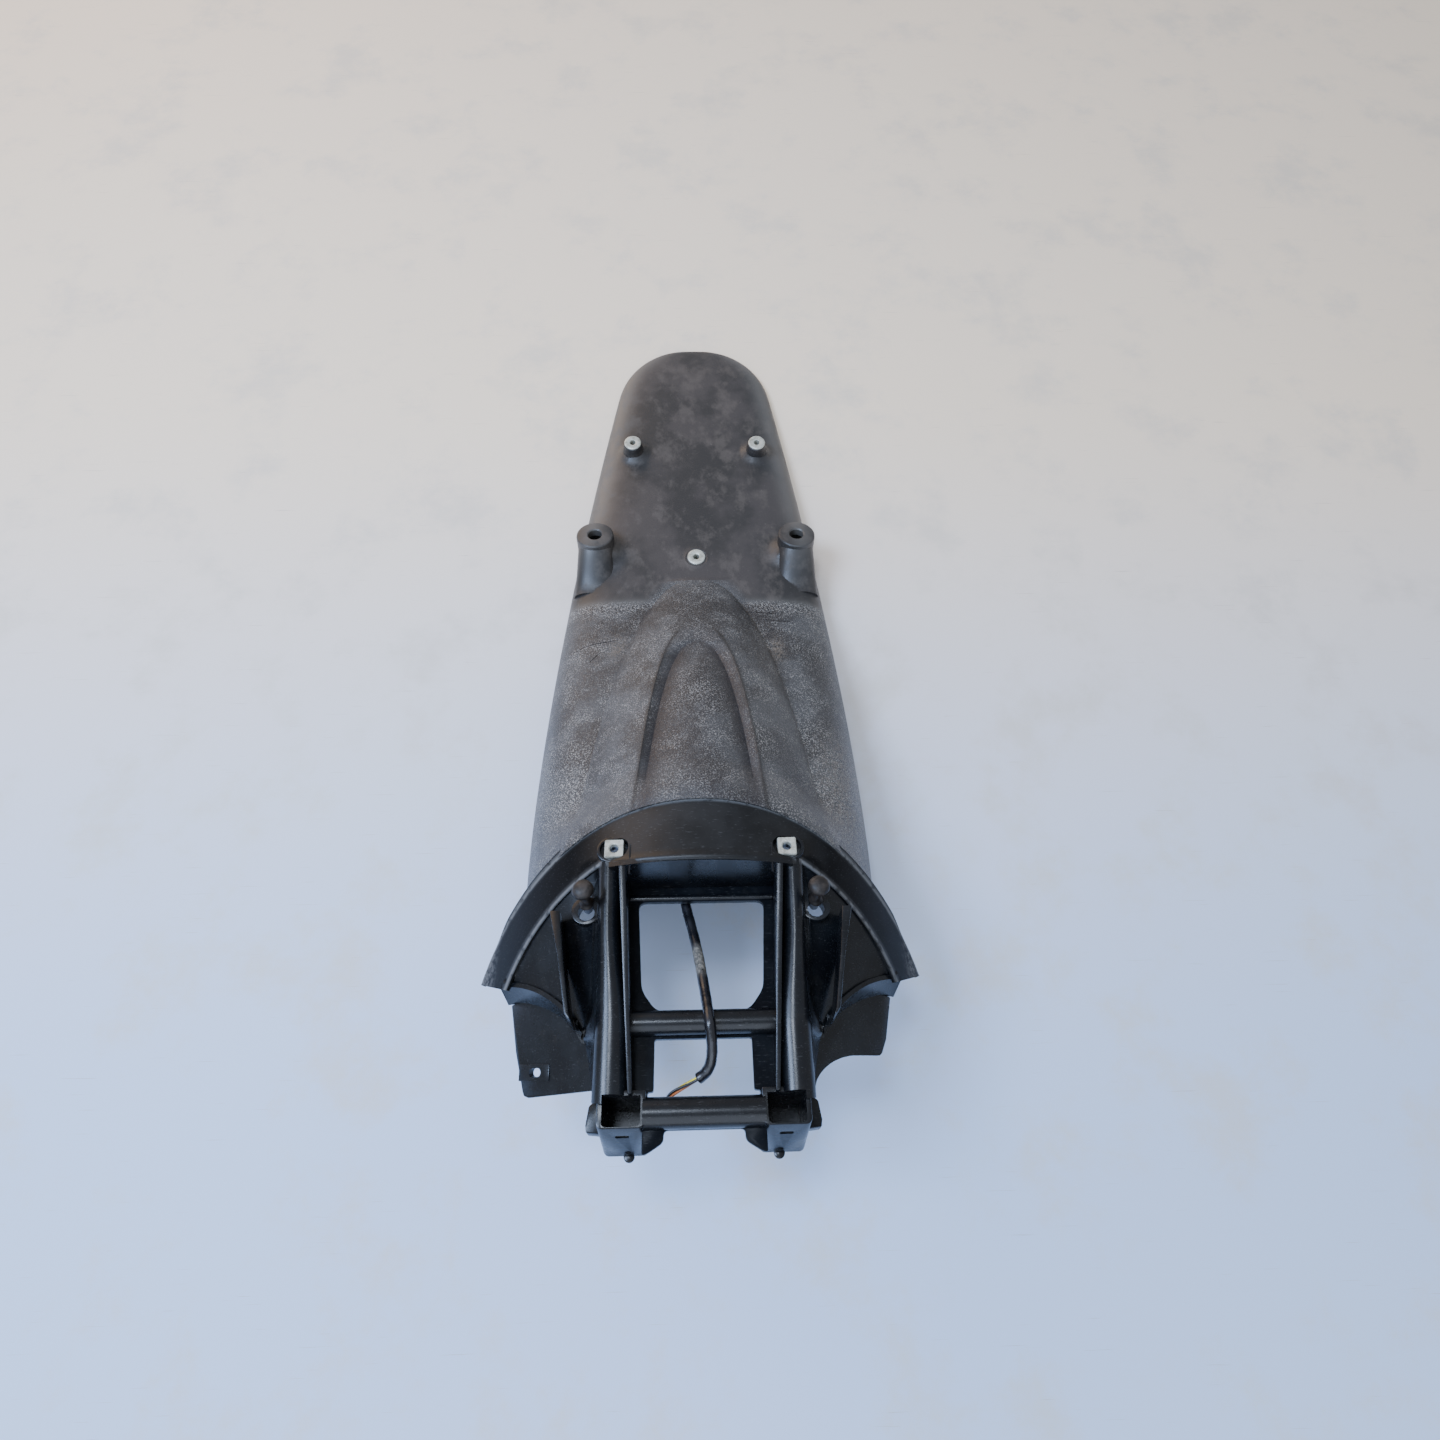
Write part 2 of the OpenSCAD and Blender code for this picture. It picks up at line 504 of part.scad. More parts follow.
// Posts, bosses and pads that carry the fittings
insert_z = bracket_height - insert_flange_h;
module insert_spot() {
    for (x = [-1, 1]) translate([x * insert_spacing / 2, rear_insert_y, 0]) children();
    translate([0, middle_insert_y, 0]) children();
}
module posts() {
    for (x = [-1, 1]) translate([x * insert_spacing / 2, rear_insert_y, insert_z - 15])
        cylinder(h = 15, r1 = 9.6, r2 = 7.4, $fn = 32);
    translate([0, middle_insert_y, insert_z - 12]) cylinder(h = 12, r = 9.4, $fn = 32);
}
module middle_recess() translate([0, middle_insert_y, insert_z])
    cylinder(h = 6, d = insert_flange_d + 1.4, $fn = 36);
module post_bores() insert_spot() {
    translate([0, 0, insert_z - insert_barrel_h - 0.4]) cylinder(h = 20, d = insert_barrel_d + 0.1, $fn = 48);
    cylinder(h = 40, d = insert_bore_d + 1, $fn = 40);
}
module boss_spot() translate([boss_offset, boss_y, boss_height]) rotate([-mould_tilt, 0, 0]) children();
module boss() boss_spot() translate([0, 0, -34]) cylinder(h = 34, d = boss_d, $fn = 40);
module boss_ramp() hull() {
    boss_spot() translate([0, 0, -9]) cylinder(h = 4, d = boss_d - 1, $fn = 20);
    translate([boss_offset, boss_y - 34, deck_height(boss_y - 34) - 9]) cylinder(h = 6, r = 10, $fn = 16);
}
module boss_hollow() boss_spot() translate([0, 0, -64]) cylinder(h = 58, d = boss_d - 6, $fn = 36);
module boss_bore() boss_spot() translate([0, 0, -12]) cylinder(h = 24, d = boss_bore_d, $fn = 64);
nut_y = step_y + nut_from_step;
nut_v = local_v(nut_y, band_z(nut_offset, nut_y));
nut_w = local_w(nut_y, band_z(nut_offset, nut_y)) - 2.8;
module stadium(l, w, h) linear_extrude(h) {
    square([l - w, w], center = true);
    for (x = [-1, 1]) translate([x * (l - w) / 2, 0]) circle(d = w, $fn = 20);
}
module nut_pad() translate([nut_offset, nut_v, nut_w - 4]) stadium(nut_pocket_length + 3.4, nut_pocket_width + 3.4, 6.4);
module nut_pocket() translate([nut_offset, nut_v, nut_w]) {
    stadium(nut_pocket_length, nut_pocket_width, 12);
    translate([0, 0, -6]) cylinder(h = 12, d = nut_bore_d + 0.8, $fn = 20);
}
peg_base_y = peg_y - 4;
peg_v = local_v(peg_y, 134.5);
peg_w = local_w(peg_base_y, 134.5);
module peg_pad() translate([peg_offset, peg_v - 1.4, peg_w - 4]) cylinder(h = 4, d = keyhole_d + 5.4, $fn = 28);
module keyhole() translate([peg_offset, peg_v - 2.8, peg_w - 9]) linear_extrude(20) {
    circle(d = keyhole_d, $fn = 28);
    translate([-peg_stem_d / 2 - 0.1, 0]) square([peg_stem_d + 0.2, 7.4]);
}

// Every wall, sheet and pad of the moulding in one shell, as wide as the band from tip to tip
module shell() resize([2 * band_half_width, 0, 0]) difference() {
    union() {
        skin();
        band();
        both() {
            side_panel();
            rail();
            inner_rib();
            outer_rib();
            fin();
            boss();
            boss_ramp();
            tilted() {
                socket();
                tab();
                nut_pad();
                peg_pad();
                pin_lug();
            }
        }
        tilted() {
            carrier_floor();
            crossbar(bar1_v, crossbar1_width / 2, 40);
            crossbar(bar2_v, crossbar2_width / 2, 31);
            step_wall();
        }
        wing(RIGHT_WING);
        mirror([1, 0, 0]) {
            wing(LEFT_WING);
            clip_pad();
        }
        posts();
        at_rear_plug() translate([0, 0, 5]) cylinder(h = 3.8, d = 9, $fn = 24);
    }
    tilted() {
        crossbar_hollow(bar1_v, crossbar1_width / 2, window1_half_widths[1] - 2);
        crossbar_hollow(bar2_v, crossbar2_width / 2, window2_half_width);
    }
    both() {
        boss_hollow();
        tilted() {
            socket_cut();
            nut_pocket();
            keyhole();
        }
    }
    middle_recess();
    mirror([1, 0, 0]) wing_slot();
}

// The whole moulding, with its round bores
module fender_moulding() color(plastic) difference() {
    shell();
    both() boss_bore();
    post_bores();
}

// Threaded inserts with a flange, on which a plate bracket is screwed
module plate_inserts() color(zinc) insert_spot() translate([0, 0, insert_z]) difference() {
    union() {
        cylinder(h = insert_flange_h, d = insert_flange_d, $fn = 64);
        translate([0, 0, -insert_barrel_h]) cylinder(h = insert_barrel_h + 0.2, d = insert_barrel_d, $fn = 48);
    }
    translate([0, 0, -insert_barrel_h - 1]) cylinder(h = insert_barrel_h + 4, d = insert_bore_d, $fn = 40);
}

// Square nuts lying in the oval pockets of the band
module square_nuts() color(zinc) both() tilted() translate([nut_offset, nut_v, nut_w]) difference() {
    intersection() {
        translate([-nut_width / 2, -nut_width / 2, 0]) cube([nut_width, nut_width, nut_height]);
        cylinder(h = nut_height, d = nut_width * 1.3, $fn = 48);
        translate([0, 0, -1.3]) cylinder(h = nut_height + 6, r1 = nut_width, r2 = nut_width * 0.55, $fn = 48);
    }
    translate([0, 0, -1]) cylinder(h = nut_height + 2, d = nut_bore_d, $fn = 40);
}

// Rubber pegs with a mushroom head, pushed through the keyholes
module rubber_pegs() color(rubber) both() tilted() translate([peg_offset, peg_v + 2, peg_w]) rotate_extrude($fn = 48)
    polygon([[0, -8.5], [peg_stem_d / 2 - 0.6, -8.5], [peg_stem_d / 2, -7.6], [peg_stem_d / 2, 0],
        [peg_stem_d / 2 + 1.4, 0], [peg_stem_d / 2 + 1.4, 1.6], [peg_stem_d / 2, 2.6],
        [peg_stem_d / 2, peg_height - 7], [peg_head_d / 2 - 0.8, peg_height - 4.6], [peg_head_d / 2, peg_height - 3.6],
        [peg_head_d / 2 - 0.4, peg_height - 2], [peg_head_d / 2 - 1.8, peg_height - 0.6], [peg_head_d / 4, peg_height],
        [0, peg_height]]);

// Locating pins under the sockets
pin_v = socket_v - 22.8;
pin_w = socket_top - socket_height + 2;
module pin_lug() translate([socket_offset - 1.4, pin_v, pin_w]) cylinder(h = 7, r = pin_collar_d / 2 + 0.7, $fn = 20);
module front_pins() color(plastic) both() tilted()
    translate([socket_offset - 1.4, pin_v, pin_w - 2]) rotate([180, 0, 0]) {
        cylinder(h = 2.2, d = pin_collar_d, $fn = 48);
        translate([0, 0, 2.2]) cylinder(h = 3.6, r1 = pin_collar_d / 2 - 0.4, r2 = pin_shank_d / 2 - 0.4, $fn = 40);
        translate([0, 0, 5.8]) cylinder(h = 5, r1 = pin_shank_d / 2 - 0.8, r2 = 0.5, $fn = 32);
    }

// The loom: a sleeve held by a plug under the hump, lying over the rear crossbar, and the leads beyond
// it, which go down to a second plug under the front crossbar
plug_lean = 25;
plug_spot = [-13, 150, 121.4];
module at_rear_plug() translate(plug_spot) rotate([-plug_lean, 0, 0]) children();
front_plug = [-19, bar2_v, -8.2];
SLEEVE_ROUTE = [
    [-13, 140.9, 125.6], [-13, 136, 127.8], [-13, 130.5, 129.1], [-12.8, 125, 128.9], [-12.6, 119.5, 126.8],
    [-12.4, 114.5, 123.2], [-12, 109, 118.4], [-11.7, 103.5, 113.8], [-11.4, 98, 110.6], [-11, 91.5, 109],
    [-10.2, 84.5, 108.8], [-9.3, 77.5, 109.7], [-8, 71.5, 111.8], [-6.5, 65.5, 114.4], [-4.6, 58, 117.8],
    [-2.6, 49, 122.2], [-0.6, 38, 128], [1, 28, 133.8], [2, 21, 139.2], [2.7, 16, 143.2], [3.3, 11, 145.5],
    [4, 5, 144.9], [4.3, -0.5, 143.6], [4, -5, 142], [2.9, -9, 140.2], [0.6, -12.3, 138.6], [-2.6, -14.6, 137.2]];
LEADS_ROUTE = [
    [-2.6, -14.6, 137.2], [-6.8, -16.7, 136.2], [-11, -18.7, 135.4], [-14.6, -20.6, 134.8], [-17.2, -22.6, 134.5],
    [-18.6, -25, 134.6], [-19, -27.3, 134.8]];
function curve(a, b, c, d, t) = 0.5 * (2 * b + (c - a) * t + (2 * a - 5 * b + 4 * c - d) * t * t
    + (3 * b - 3 * c + d - a) * t * t * t);
function route(list, steps) = let (n = len(list) - 1) concat(
    [for (i = [0 : n - 1]) for (s = [0 : steps - 1]) curve(
        list[max(i - 1, 0)], list[i], list[i + 1], list[min(i + 2, n)], s / steps)], [list[n]]);
module tube(list, d, sides) {
    n = len(list) - 1;
    rings = [for (i = [0 : n]) let (
        t = unit(list[min(i + 1, n)] - list[max(i - 1, 0)]),
        a = unit(cross(t, [1, 0, 0])), b = cross(t, a))
        [for (k = [0 : sides - 1]) list[i] + d / 2 * (cos(360 * k / sides) * a + sin(360 * k / sides) * b)]];
    points = [for (r = rings) each r];
    faces = [
        [for (k = [0 : sides - 1]) k],
        [for (k = [sides - 1 : -1 : 0]) n * sides + k],
        for (i = [0 : n - 1]) for (k = [0 : sides - 1]) let (m = (k + 1) % sides) each [
            [i * sides + k, (i + 1) * sides + k, (i + 1) * sides + m],
            [i * sides + k, (i + 1) * sides + m, i * sides + m]]];
    polyhedron(points, faces, convexity = 8);
}
module loom_sleeve() color(rubber) tube(route(SLEEVE_ROUTE, 2), sleeve_d, 12);
module loom_leads() color(rubber) tube(route(LEADS_ROUTE, 2), leads_d, 8);
module loom_plugs() color(rubber) {
    at_rear_plug() {
        difference() {
            translate([-8, -10, -5]) cube([16, 20, 10]);
            translate([-9, -0.6, 3.2]) cube([4.4, 12, 3]);
        }
        translate([-6.4, 10, -3.6]) cube([12.8, 5, 7.2]);
    }
    tilted() translate(front_plug) {
        translate([-8, -4.6, -4.4]) cube([16, 9.2, 9.6]);
    }
}

// The row's frame: centred along the part, with the base on zero
front_y = lip_y + pin_v * cos(mould_tilt) + (pin_w - 12.8) * sin(mould_tilt) - 0.5;
middle_y = (tip_y + front_y) / 2;
module placed() translate([0, -middle_y, 0]) children();

placed() fender_moulding();
placed() plate_inserts();
placed() square_nuts();
placed() rubber_pegs();
placed() front_pins();
placed() loom_sleeve();
placed() loom_leads();
placed() loom_plugs();
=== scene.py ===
"""Dress a used plastic motorcycle rear fender on a worn pale bench, its tail away from the camera."""

from __future__ import annotations

import logging
import math
from dataclasses import dataclass, field
from enum import Enum

import bmesh
import bpy
import numpy as np
from mathutils import Matrix

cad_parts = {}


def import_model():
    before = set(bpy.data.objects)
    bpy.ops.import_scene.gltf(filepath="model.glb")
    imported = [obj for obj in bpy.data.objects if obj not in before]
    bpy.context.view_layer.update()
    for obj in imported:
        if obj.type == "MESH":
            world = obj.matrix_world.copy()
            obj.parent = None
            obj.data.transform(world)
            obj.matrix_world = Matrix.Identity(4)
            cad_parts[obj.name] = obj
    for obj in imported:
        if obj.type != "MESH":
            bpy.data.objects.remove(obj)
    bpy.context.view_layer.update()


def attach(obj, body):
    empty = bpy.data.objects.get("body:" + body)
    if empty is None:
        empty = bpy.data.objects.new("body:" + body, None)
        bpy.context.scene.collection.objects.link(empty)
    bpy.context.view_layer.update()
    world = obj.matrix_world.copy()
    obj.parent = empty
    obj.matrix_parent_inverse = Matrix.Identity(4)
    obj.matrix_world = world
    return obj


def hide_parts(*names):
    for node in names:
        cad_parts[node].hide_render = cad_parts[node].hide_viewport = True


LOG = logging.getLogger("fender")
MIDDLE_Y = 275.87  # from the bench drawing's zero to the row's zero, along the part, in millimetres


def smooth(value: np.ndarray | float) -> np.ndarray:
    """Return the smooth step of a number or array, which rises from 0 to 1."""
    step = np.clip(value, 0.0, 1.0)
    return step * step * (3 - 2 * step)


def shade(colour: str) -> tuple[float, float, float, float]:
    """Turn a screen colour into the linear colour that a material needs.

    Args:
        colour: six hexadecimal digits, with or without a hash.

    Returns:
        Linear red, green and blue, and an alpha of 1.
    """
    parts = [int(colour.lstrip("#")[i : i + 2], 16) / 255 for i in (0, 2, 4)]
    lin = [c / 12.92 if c <= 0.04045 else ((c + 0.055) / 1.055) ** 2.4 for c in parts]
    return (lin[0], lin[1], lin[2], 1.0)


# Shapes


@dataclass(frozen=True)
class Stand:
    """A local frame: an origin on the bench drawing, and a turn about x and then y."""

    origin: tuple[float, float, float] = (0.0, 0.0, 0.0)
    about_x: float = 0.0
    about_y: float = 0.0

    def place(self, points: np.ndarray) -> np.ndarray:
        """Move local points into the bench drawing.

        Args:
            points: an array whose last axis is x, y and z in millimetres.

        Returns:
            The same points on the bench drawing.
        """
        turn = Matrix.Rotation(math.radians(self.about_x), 3, "X") @ Matrix.Rotation(
            math.radians(self.about_y), 3, "Y"
        )
        return np.asarray(points, float) @ np.array(turn).T + np.array(self.origin)


@dataclass
class Form:
    """A closed surface in millimetres on the bench drawing: its points and its faces."""

    points: np.ndarray
    faces: list[list[int]]

    def mirrored(self) -> Form:
        """Return the same form on the other side of the middle."""
        return Form(self.points * [-1, 1, 1], [f[::-1] for f in self.faces])

    def placed(self, stand: Stand) -> Form:
        """Return the form moved out of a local frame."""
        return Form(stand.place(self.points), self.faces)

    def mesh(self, name: str) -> bpy.types.Mesh:
        """Write the form as a mesh in metres in the row's frame.

        Args:
            name: the mesh's name.

        Returns:
            The mesh, with its normals outward.
        """
        mesh = bpy.data.meshes.new(name)
        mesh.from_pydata(((self.points - [0, MIDDLE_Y, 0]) / 1000).tolist(), [], self.faces)
        mesh.validate()
        return mesh

    def rounded(self, width: float, angle: float = 35.0, steps: int = 2) -> Form:
        """Round the form's sharp edges.

        Args:
            width: how far the rounding reaches, in millimetres.
            angle: the least angle between two faces that counts as an edge, in degrees.
            steps: how many strips each rounding has.

        Returns:
            The rounded form.
        """
        work = bmesh.new()
        work.from_mesh(self.mesh("work"))
        sharp = [e for e in work.edges if e.is_manifold and e.calc_face_angle(0) > math.radians(angle)]
        bmesh.ops.bevel(
            work, geom=sharp, offset=width / 1000, segments=steps, affect="EDGES", profile=0.5,
            clamp_overlap=True
        )
        work.verts.index_update()
        points = np.array([v.co for v in work.verts], float) * 1000 + [0, MIDDLE_Y, 0]
        faces = [[v.index for v in f.verts] for f in work.faces]
        work.free()
        return Form(points, faces)


def grid_faces(rows: int, columns: int, start: int = 0, flip: bool = False) -> np.ndarray:
    """Number the four-sided faces of a grid of points.

    Args:
        rows: how many rows of points.
        columns: how many points in a row.
        start: the number of the grid's first point.
        flip: whether the faces turn the other way.

    Returns:
        One row of four point numbers for each face.
    """
    i, j = np.meshgrid(np.arange(rows - 1), np.arange(columns - 1), indexing="ij")
    a = start + i * columns + j
    quads = np.stack([a, a + 1, a + columns + 1, a + columns], axis=-1).reshape(-1, 4)
    return quads[:, ::-1] if flip else quads


def grid_normals(grid: np.ndarray) -> np.ndarray:
    """Return the unit normal at each point of a grid, from the differences of its neighbours."""
    along, across = np.gradient(grid, axis=0), np.gradient(grid, axis=1)
    normal = np.cross(across, along)
    return normal / np.maximum(np.linalg.norm(normal, axis=-1, keepdims=True), 1e-9)


def closed_sheet(outer: np.ndarray, inner: np.ndarray) -> Form:
    """Join an outer and an inner grid of points into one closed sheet.

    Args:
        outer: rows by columns by 3, the face whose normal is across x along.
        inner: the other face, with the same rows and columns.

    Returns:
        The closed sheet.
    """
    rows, columns = outer.shape[:2]
    half = rows * columns
    i, j = np.arange(rows - 1), np.arange(columns - 1)
    left, right = i * columns, i * columns + columns - 1
    last = (rows - 1) * columns
    rims = [
        np.stack([left, left + columns, half + left + columns, half + left], -1),
        np.stack([right, half + right, half + right + columns, right + columns], -1),
        np.stack([j, half + j, half + j + 1, j + 1], -1),
        np.stack([last + j, last + j + 1, half + last + j + 1, half + last + j], -1),
    ]
    faces = np.concatenate([grid_faces(rows, columns), grid_faces(rows, columns, half, True), *rims])
    return Form(np.concatenate([outer.reshape(-1, 3), inner.reshape(-1, 3)]), faces.tolist())


def thickened(outer: np.ndarray, wall: float) -> Form:
    """Give a grid of points a wall on the side away from its normal."""
    return closed_sheet(outer, outer - wall * grid_normals(outer))


def ringed(rings: np.ndarray, stand: Stand = Stand(), looped: bool = False) -> Form:
    """Join rings of points into one closed form.

    Args:
        rings: rings by points by 3, each turning against the clock as seen from the first ring's side.
        stand: the local frame that they are drawn in.
        looped: whether the last ring joins the first one, where otherwise each end gets a face.

    Returns:
        The closed form.
    """
    count, n = rings.shape[:2]
    a = np.arange(n)
    b = (a + 1) % n
    faces = [] if looped else [list(range(n)), list(range((count - 1) * n, count * n))[::-1]]
    for k in range(count if looped else count - 1):
        one, two = k * n, (k + 1) % count * n
        faces += np.stack([one + a, two + a, two + b, one + b], -1).tolist()
    return Form(stand.place(rings.reshape(-1, 3)), faces)


def prism(outline: list[tuple[float, float]], low: float, high: float, stand: Stand = Stand()) -> Form:
    """Raise a plan outline into a plate or block.

    Args:
        outline: the plan's corners, in order.
        low: the height of its lower face.
        high: the height of its upper face.
        stand: the local frame that it is drawn in.

    Returns:
        The closed block.
    """
    plan = np.array(outline, float)
    ahead = np.roll(plan, -1, 0)
    if np.sum(plan[:, 0] * ahead[:, 1] - ahead[:, 0] * plan[:, 1]) < 0:
        plan = plan[::-1]
    return ringed(np.stack([np.c_[plan, np.full(len(plan), z)] for z in (high, low)]), stand)


def box_form(low: tuple[float, float, float], high: tuple[float, float, float], stand: Stand) -> Form:
    """Return a box between two corners in a local frame."""
    plan = [(low[0], low[1]), (high[0], low[1]), (high[0], high[1]), (low[0], high[1])]
    return prism(plan, low[2], high[2], stand)


def lathe(
    profile: list[tuple[float, float]], steps: int, stand: Stand = Stand(), looped: bool = False
) -> Form:
    """Turn a profile about the local z axis.

    Args:
        profile: radius and height pairs, from the top of the axis down the outside to its foot, or up the
            inside, over the top and down the outside where it is looped.
        steps: how many points each ring has.
        stand: the local frame that it is drawn in.
        looped: whether the profile closes on itself off the axis, as a bushing's does.

    Returns:
        The turned form.
    """
    angle = np.arange(steps) * 2 * math.pi / steps
    c, s = np.cos(angle), np.sin(angle)
    return ringed(np.stack([np.c_[r * c, r * s, np.full(steps, z)] for r, z in profile]), stand, looped)


def merged(forms: list[Form]) -> Form:
    """Put several separate forms into one."""
    points, faces, start = [], [], 0
    for form in forms:
        points.append(form.points)
        faces += [[i + start for i in face] for face in form.faces]
        start += len(form.points)
    return Form(np.concatenate(points), faces)


def round_plan(length: float, width: float, steps: int = 20) -> list[tuple[float, float]]:
    """Return the plan of an oval with straight sides, length along x."""
    half = (length - width) / 2
    angle = np.linspace(-math.pi / 2, math.pi / 2, steps)
    right = np.c_[half + width / 2 * np.cos(angle), width / 2 * np.sin(angle)]
    return [tuple(p) for p in np.concatenate([right, -right])]


def eased(plan: list[tuple[float, float]], radius: float, steps: int = 5) -> list[tuple[float, float]]:
    """Round the corners of a plan.

    Each corner becomes the curve that leaves one side and reaches the next one with no kink.

    Args:
        plan: the plan's corners.
        radius: how far along its sides a corner's curve reaches, at most.
        steps: how many points each curve has.

    Returns:
        The plan with round corners.
    """
    corner = np.array(plan, float)
    back, ahead = np.roll(corner, 1, 0) - corner, np.roll(corner, -1, 0) - corner
    one, two = np.linalg.norm(back, axis=1), np.linalg.norm(ahead, axis=1)
    reach = np.minimum(radius, 0.45 * np.minimum(one, two))[:, None]
    start, end = corner + back / one[:, None] * reach, corner + ahead / two[:, None] * reach
    t = np.linspace(0, 1, steps)[None, :, None]
    curve = (1 - t) ** 2 * start[:, None] + 2 * t * (1 - t) * corner[:, None] + t**2 * end[:, None]
    return [tuple(point) for point in curve.reshape(-1, 2)]


def smooth_line(points: np.ndarray, steps: int) -> np.ndarray:
    """Draw a smooth line through points, with each span cut into steps.

    The line is a cubic whose slope at a point is half the way between its two neighbours.

    Args:
        points: the points, on the first axis.
        steps: how many steps between two points.

    Returns:
        The points of the smooth line, the given ones among them.
    """
    p = np.concatenate([points[:1], points, points[-1:]])
    t = (np.arange(steps) / steps).reshape((1, -1) + (1,) * (points.ndim - 1))
    a, b, c, d = (p[k : len(p) - 3 + k][:, None] for k in range(4))
    line = 0.5 * (2 * b + (c - a) * t + (2 * a - 5 * b + 4 * c - d) * t**2 + (3 * b - 3 * c + d - a) * t**3)
    return np.concatenate([line.reshape((-1,) + points.shape[1:]), points[-1:]])


class Cut(Enum):
    """What a second form does to the first."""

    JOIN = "UNION"
    REMOVE = "DIFFERENCE"


def moulded(name: str, first: Form, others: list[tuple[Cut, Form]]) -> bpy.types.Object:
    """Build one solid out of overlapping closed forms.

    Args:
        name: the piece's name.
        first: the form to start with.
        others: the forms that are joined to it or cut out of it, in order.

    Returns:
        The piece, linked to the scene.
    """
    piece = bpy.data.objects.new(name, first.mesh(name))
    bpy.context.scene.collection.objects.link(piece)
    tools = []
    for cut, form in others:
        tool = bpy.data.objects.new("tool", form.mesh("tool"))
        bpy.context.scene.collection.objects.link(tool)
        step = piece.modifiers.new("step", "BOOLEAN")
        step.operation, step.solver, step.object = cut.value, "MANIFOLD", tool
        tools.append(tool)
    bpy.context.view_layer.update()
    result = bpy.data.meshes.new_from_object(piece.evaluated_get(bpy.context.evaluated_depsgraph_get()))
    piece.modifiers.clear()
    piece.data = result
    for tool in tools:
        bpy.data.objects.remove(tool)
    return piece


def dress(
    piece: bpy.types.Object, material: bpy.types.Material, node: str = "", edge: float = 32.0
) -> bpy.types.Object:
    """Shade a piece smoothly between its sharp edges, give it its material and fix it to the fender.

    Args:
        piece: the piece.
        material: its material.
        node: the plain solid that the piece stands for, if there is one.
        edge: the least angle that stays a sharp edge, in degrees.

    Returns:
        The same piece.
    """
    mesh = piece.data
    mesh.polygons.foreach_set("use_smooth", np.ones(len(mesh.polygons), bool))
    mesh.set_sharp_from_angle(angle=math.radians(edge))
    mesh.materials.clear()
    mesh.materials.append(material)
    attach(piece, "root")
    if node:
        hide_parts(node)
    return piece


def add_piece(name: str, form: Form) -> bpy.types.Object:
    """Put a form into the scene as a piece of its own."""
    piece = bpy.data.objects.new(name, form.mesh(name))
    bpy.context.scene.collection.objects.link(piece)
    return piece


def places(mesh: bpy.types.Mesh) -> np.ndarray:
    """Return a mesh's points in millimetres on the bench drawing."""
    flat = np.empty(len(mesh.vertices) * 3, np.float32)
    mesh.vertices.foreach_get("co", flat)
    return flat.reshape(-1, 3).astype(float) * 1000 + [0, MIDDLE_Y, 0]


def mark(piece: bpy.types.Object, name: str, values: np.ndarray) -> None:
    """Store one number for each point of a piece, for its material to read."""
    layer = piece.data.attributes.new(name, "FLOAT", "POINT")
    layer.data.foreach_set("value", np.asarray(values, np.float32))


# The fender's lines


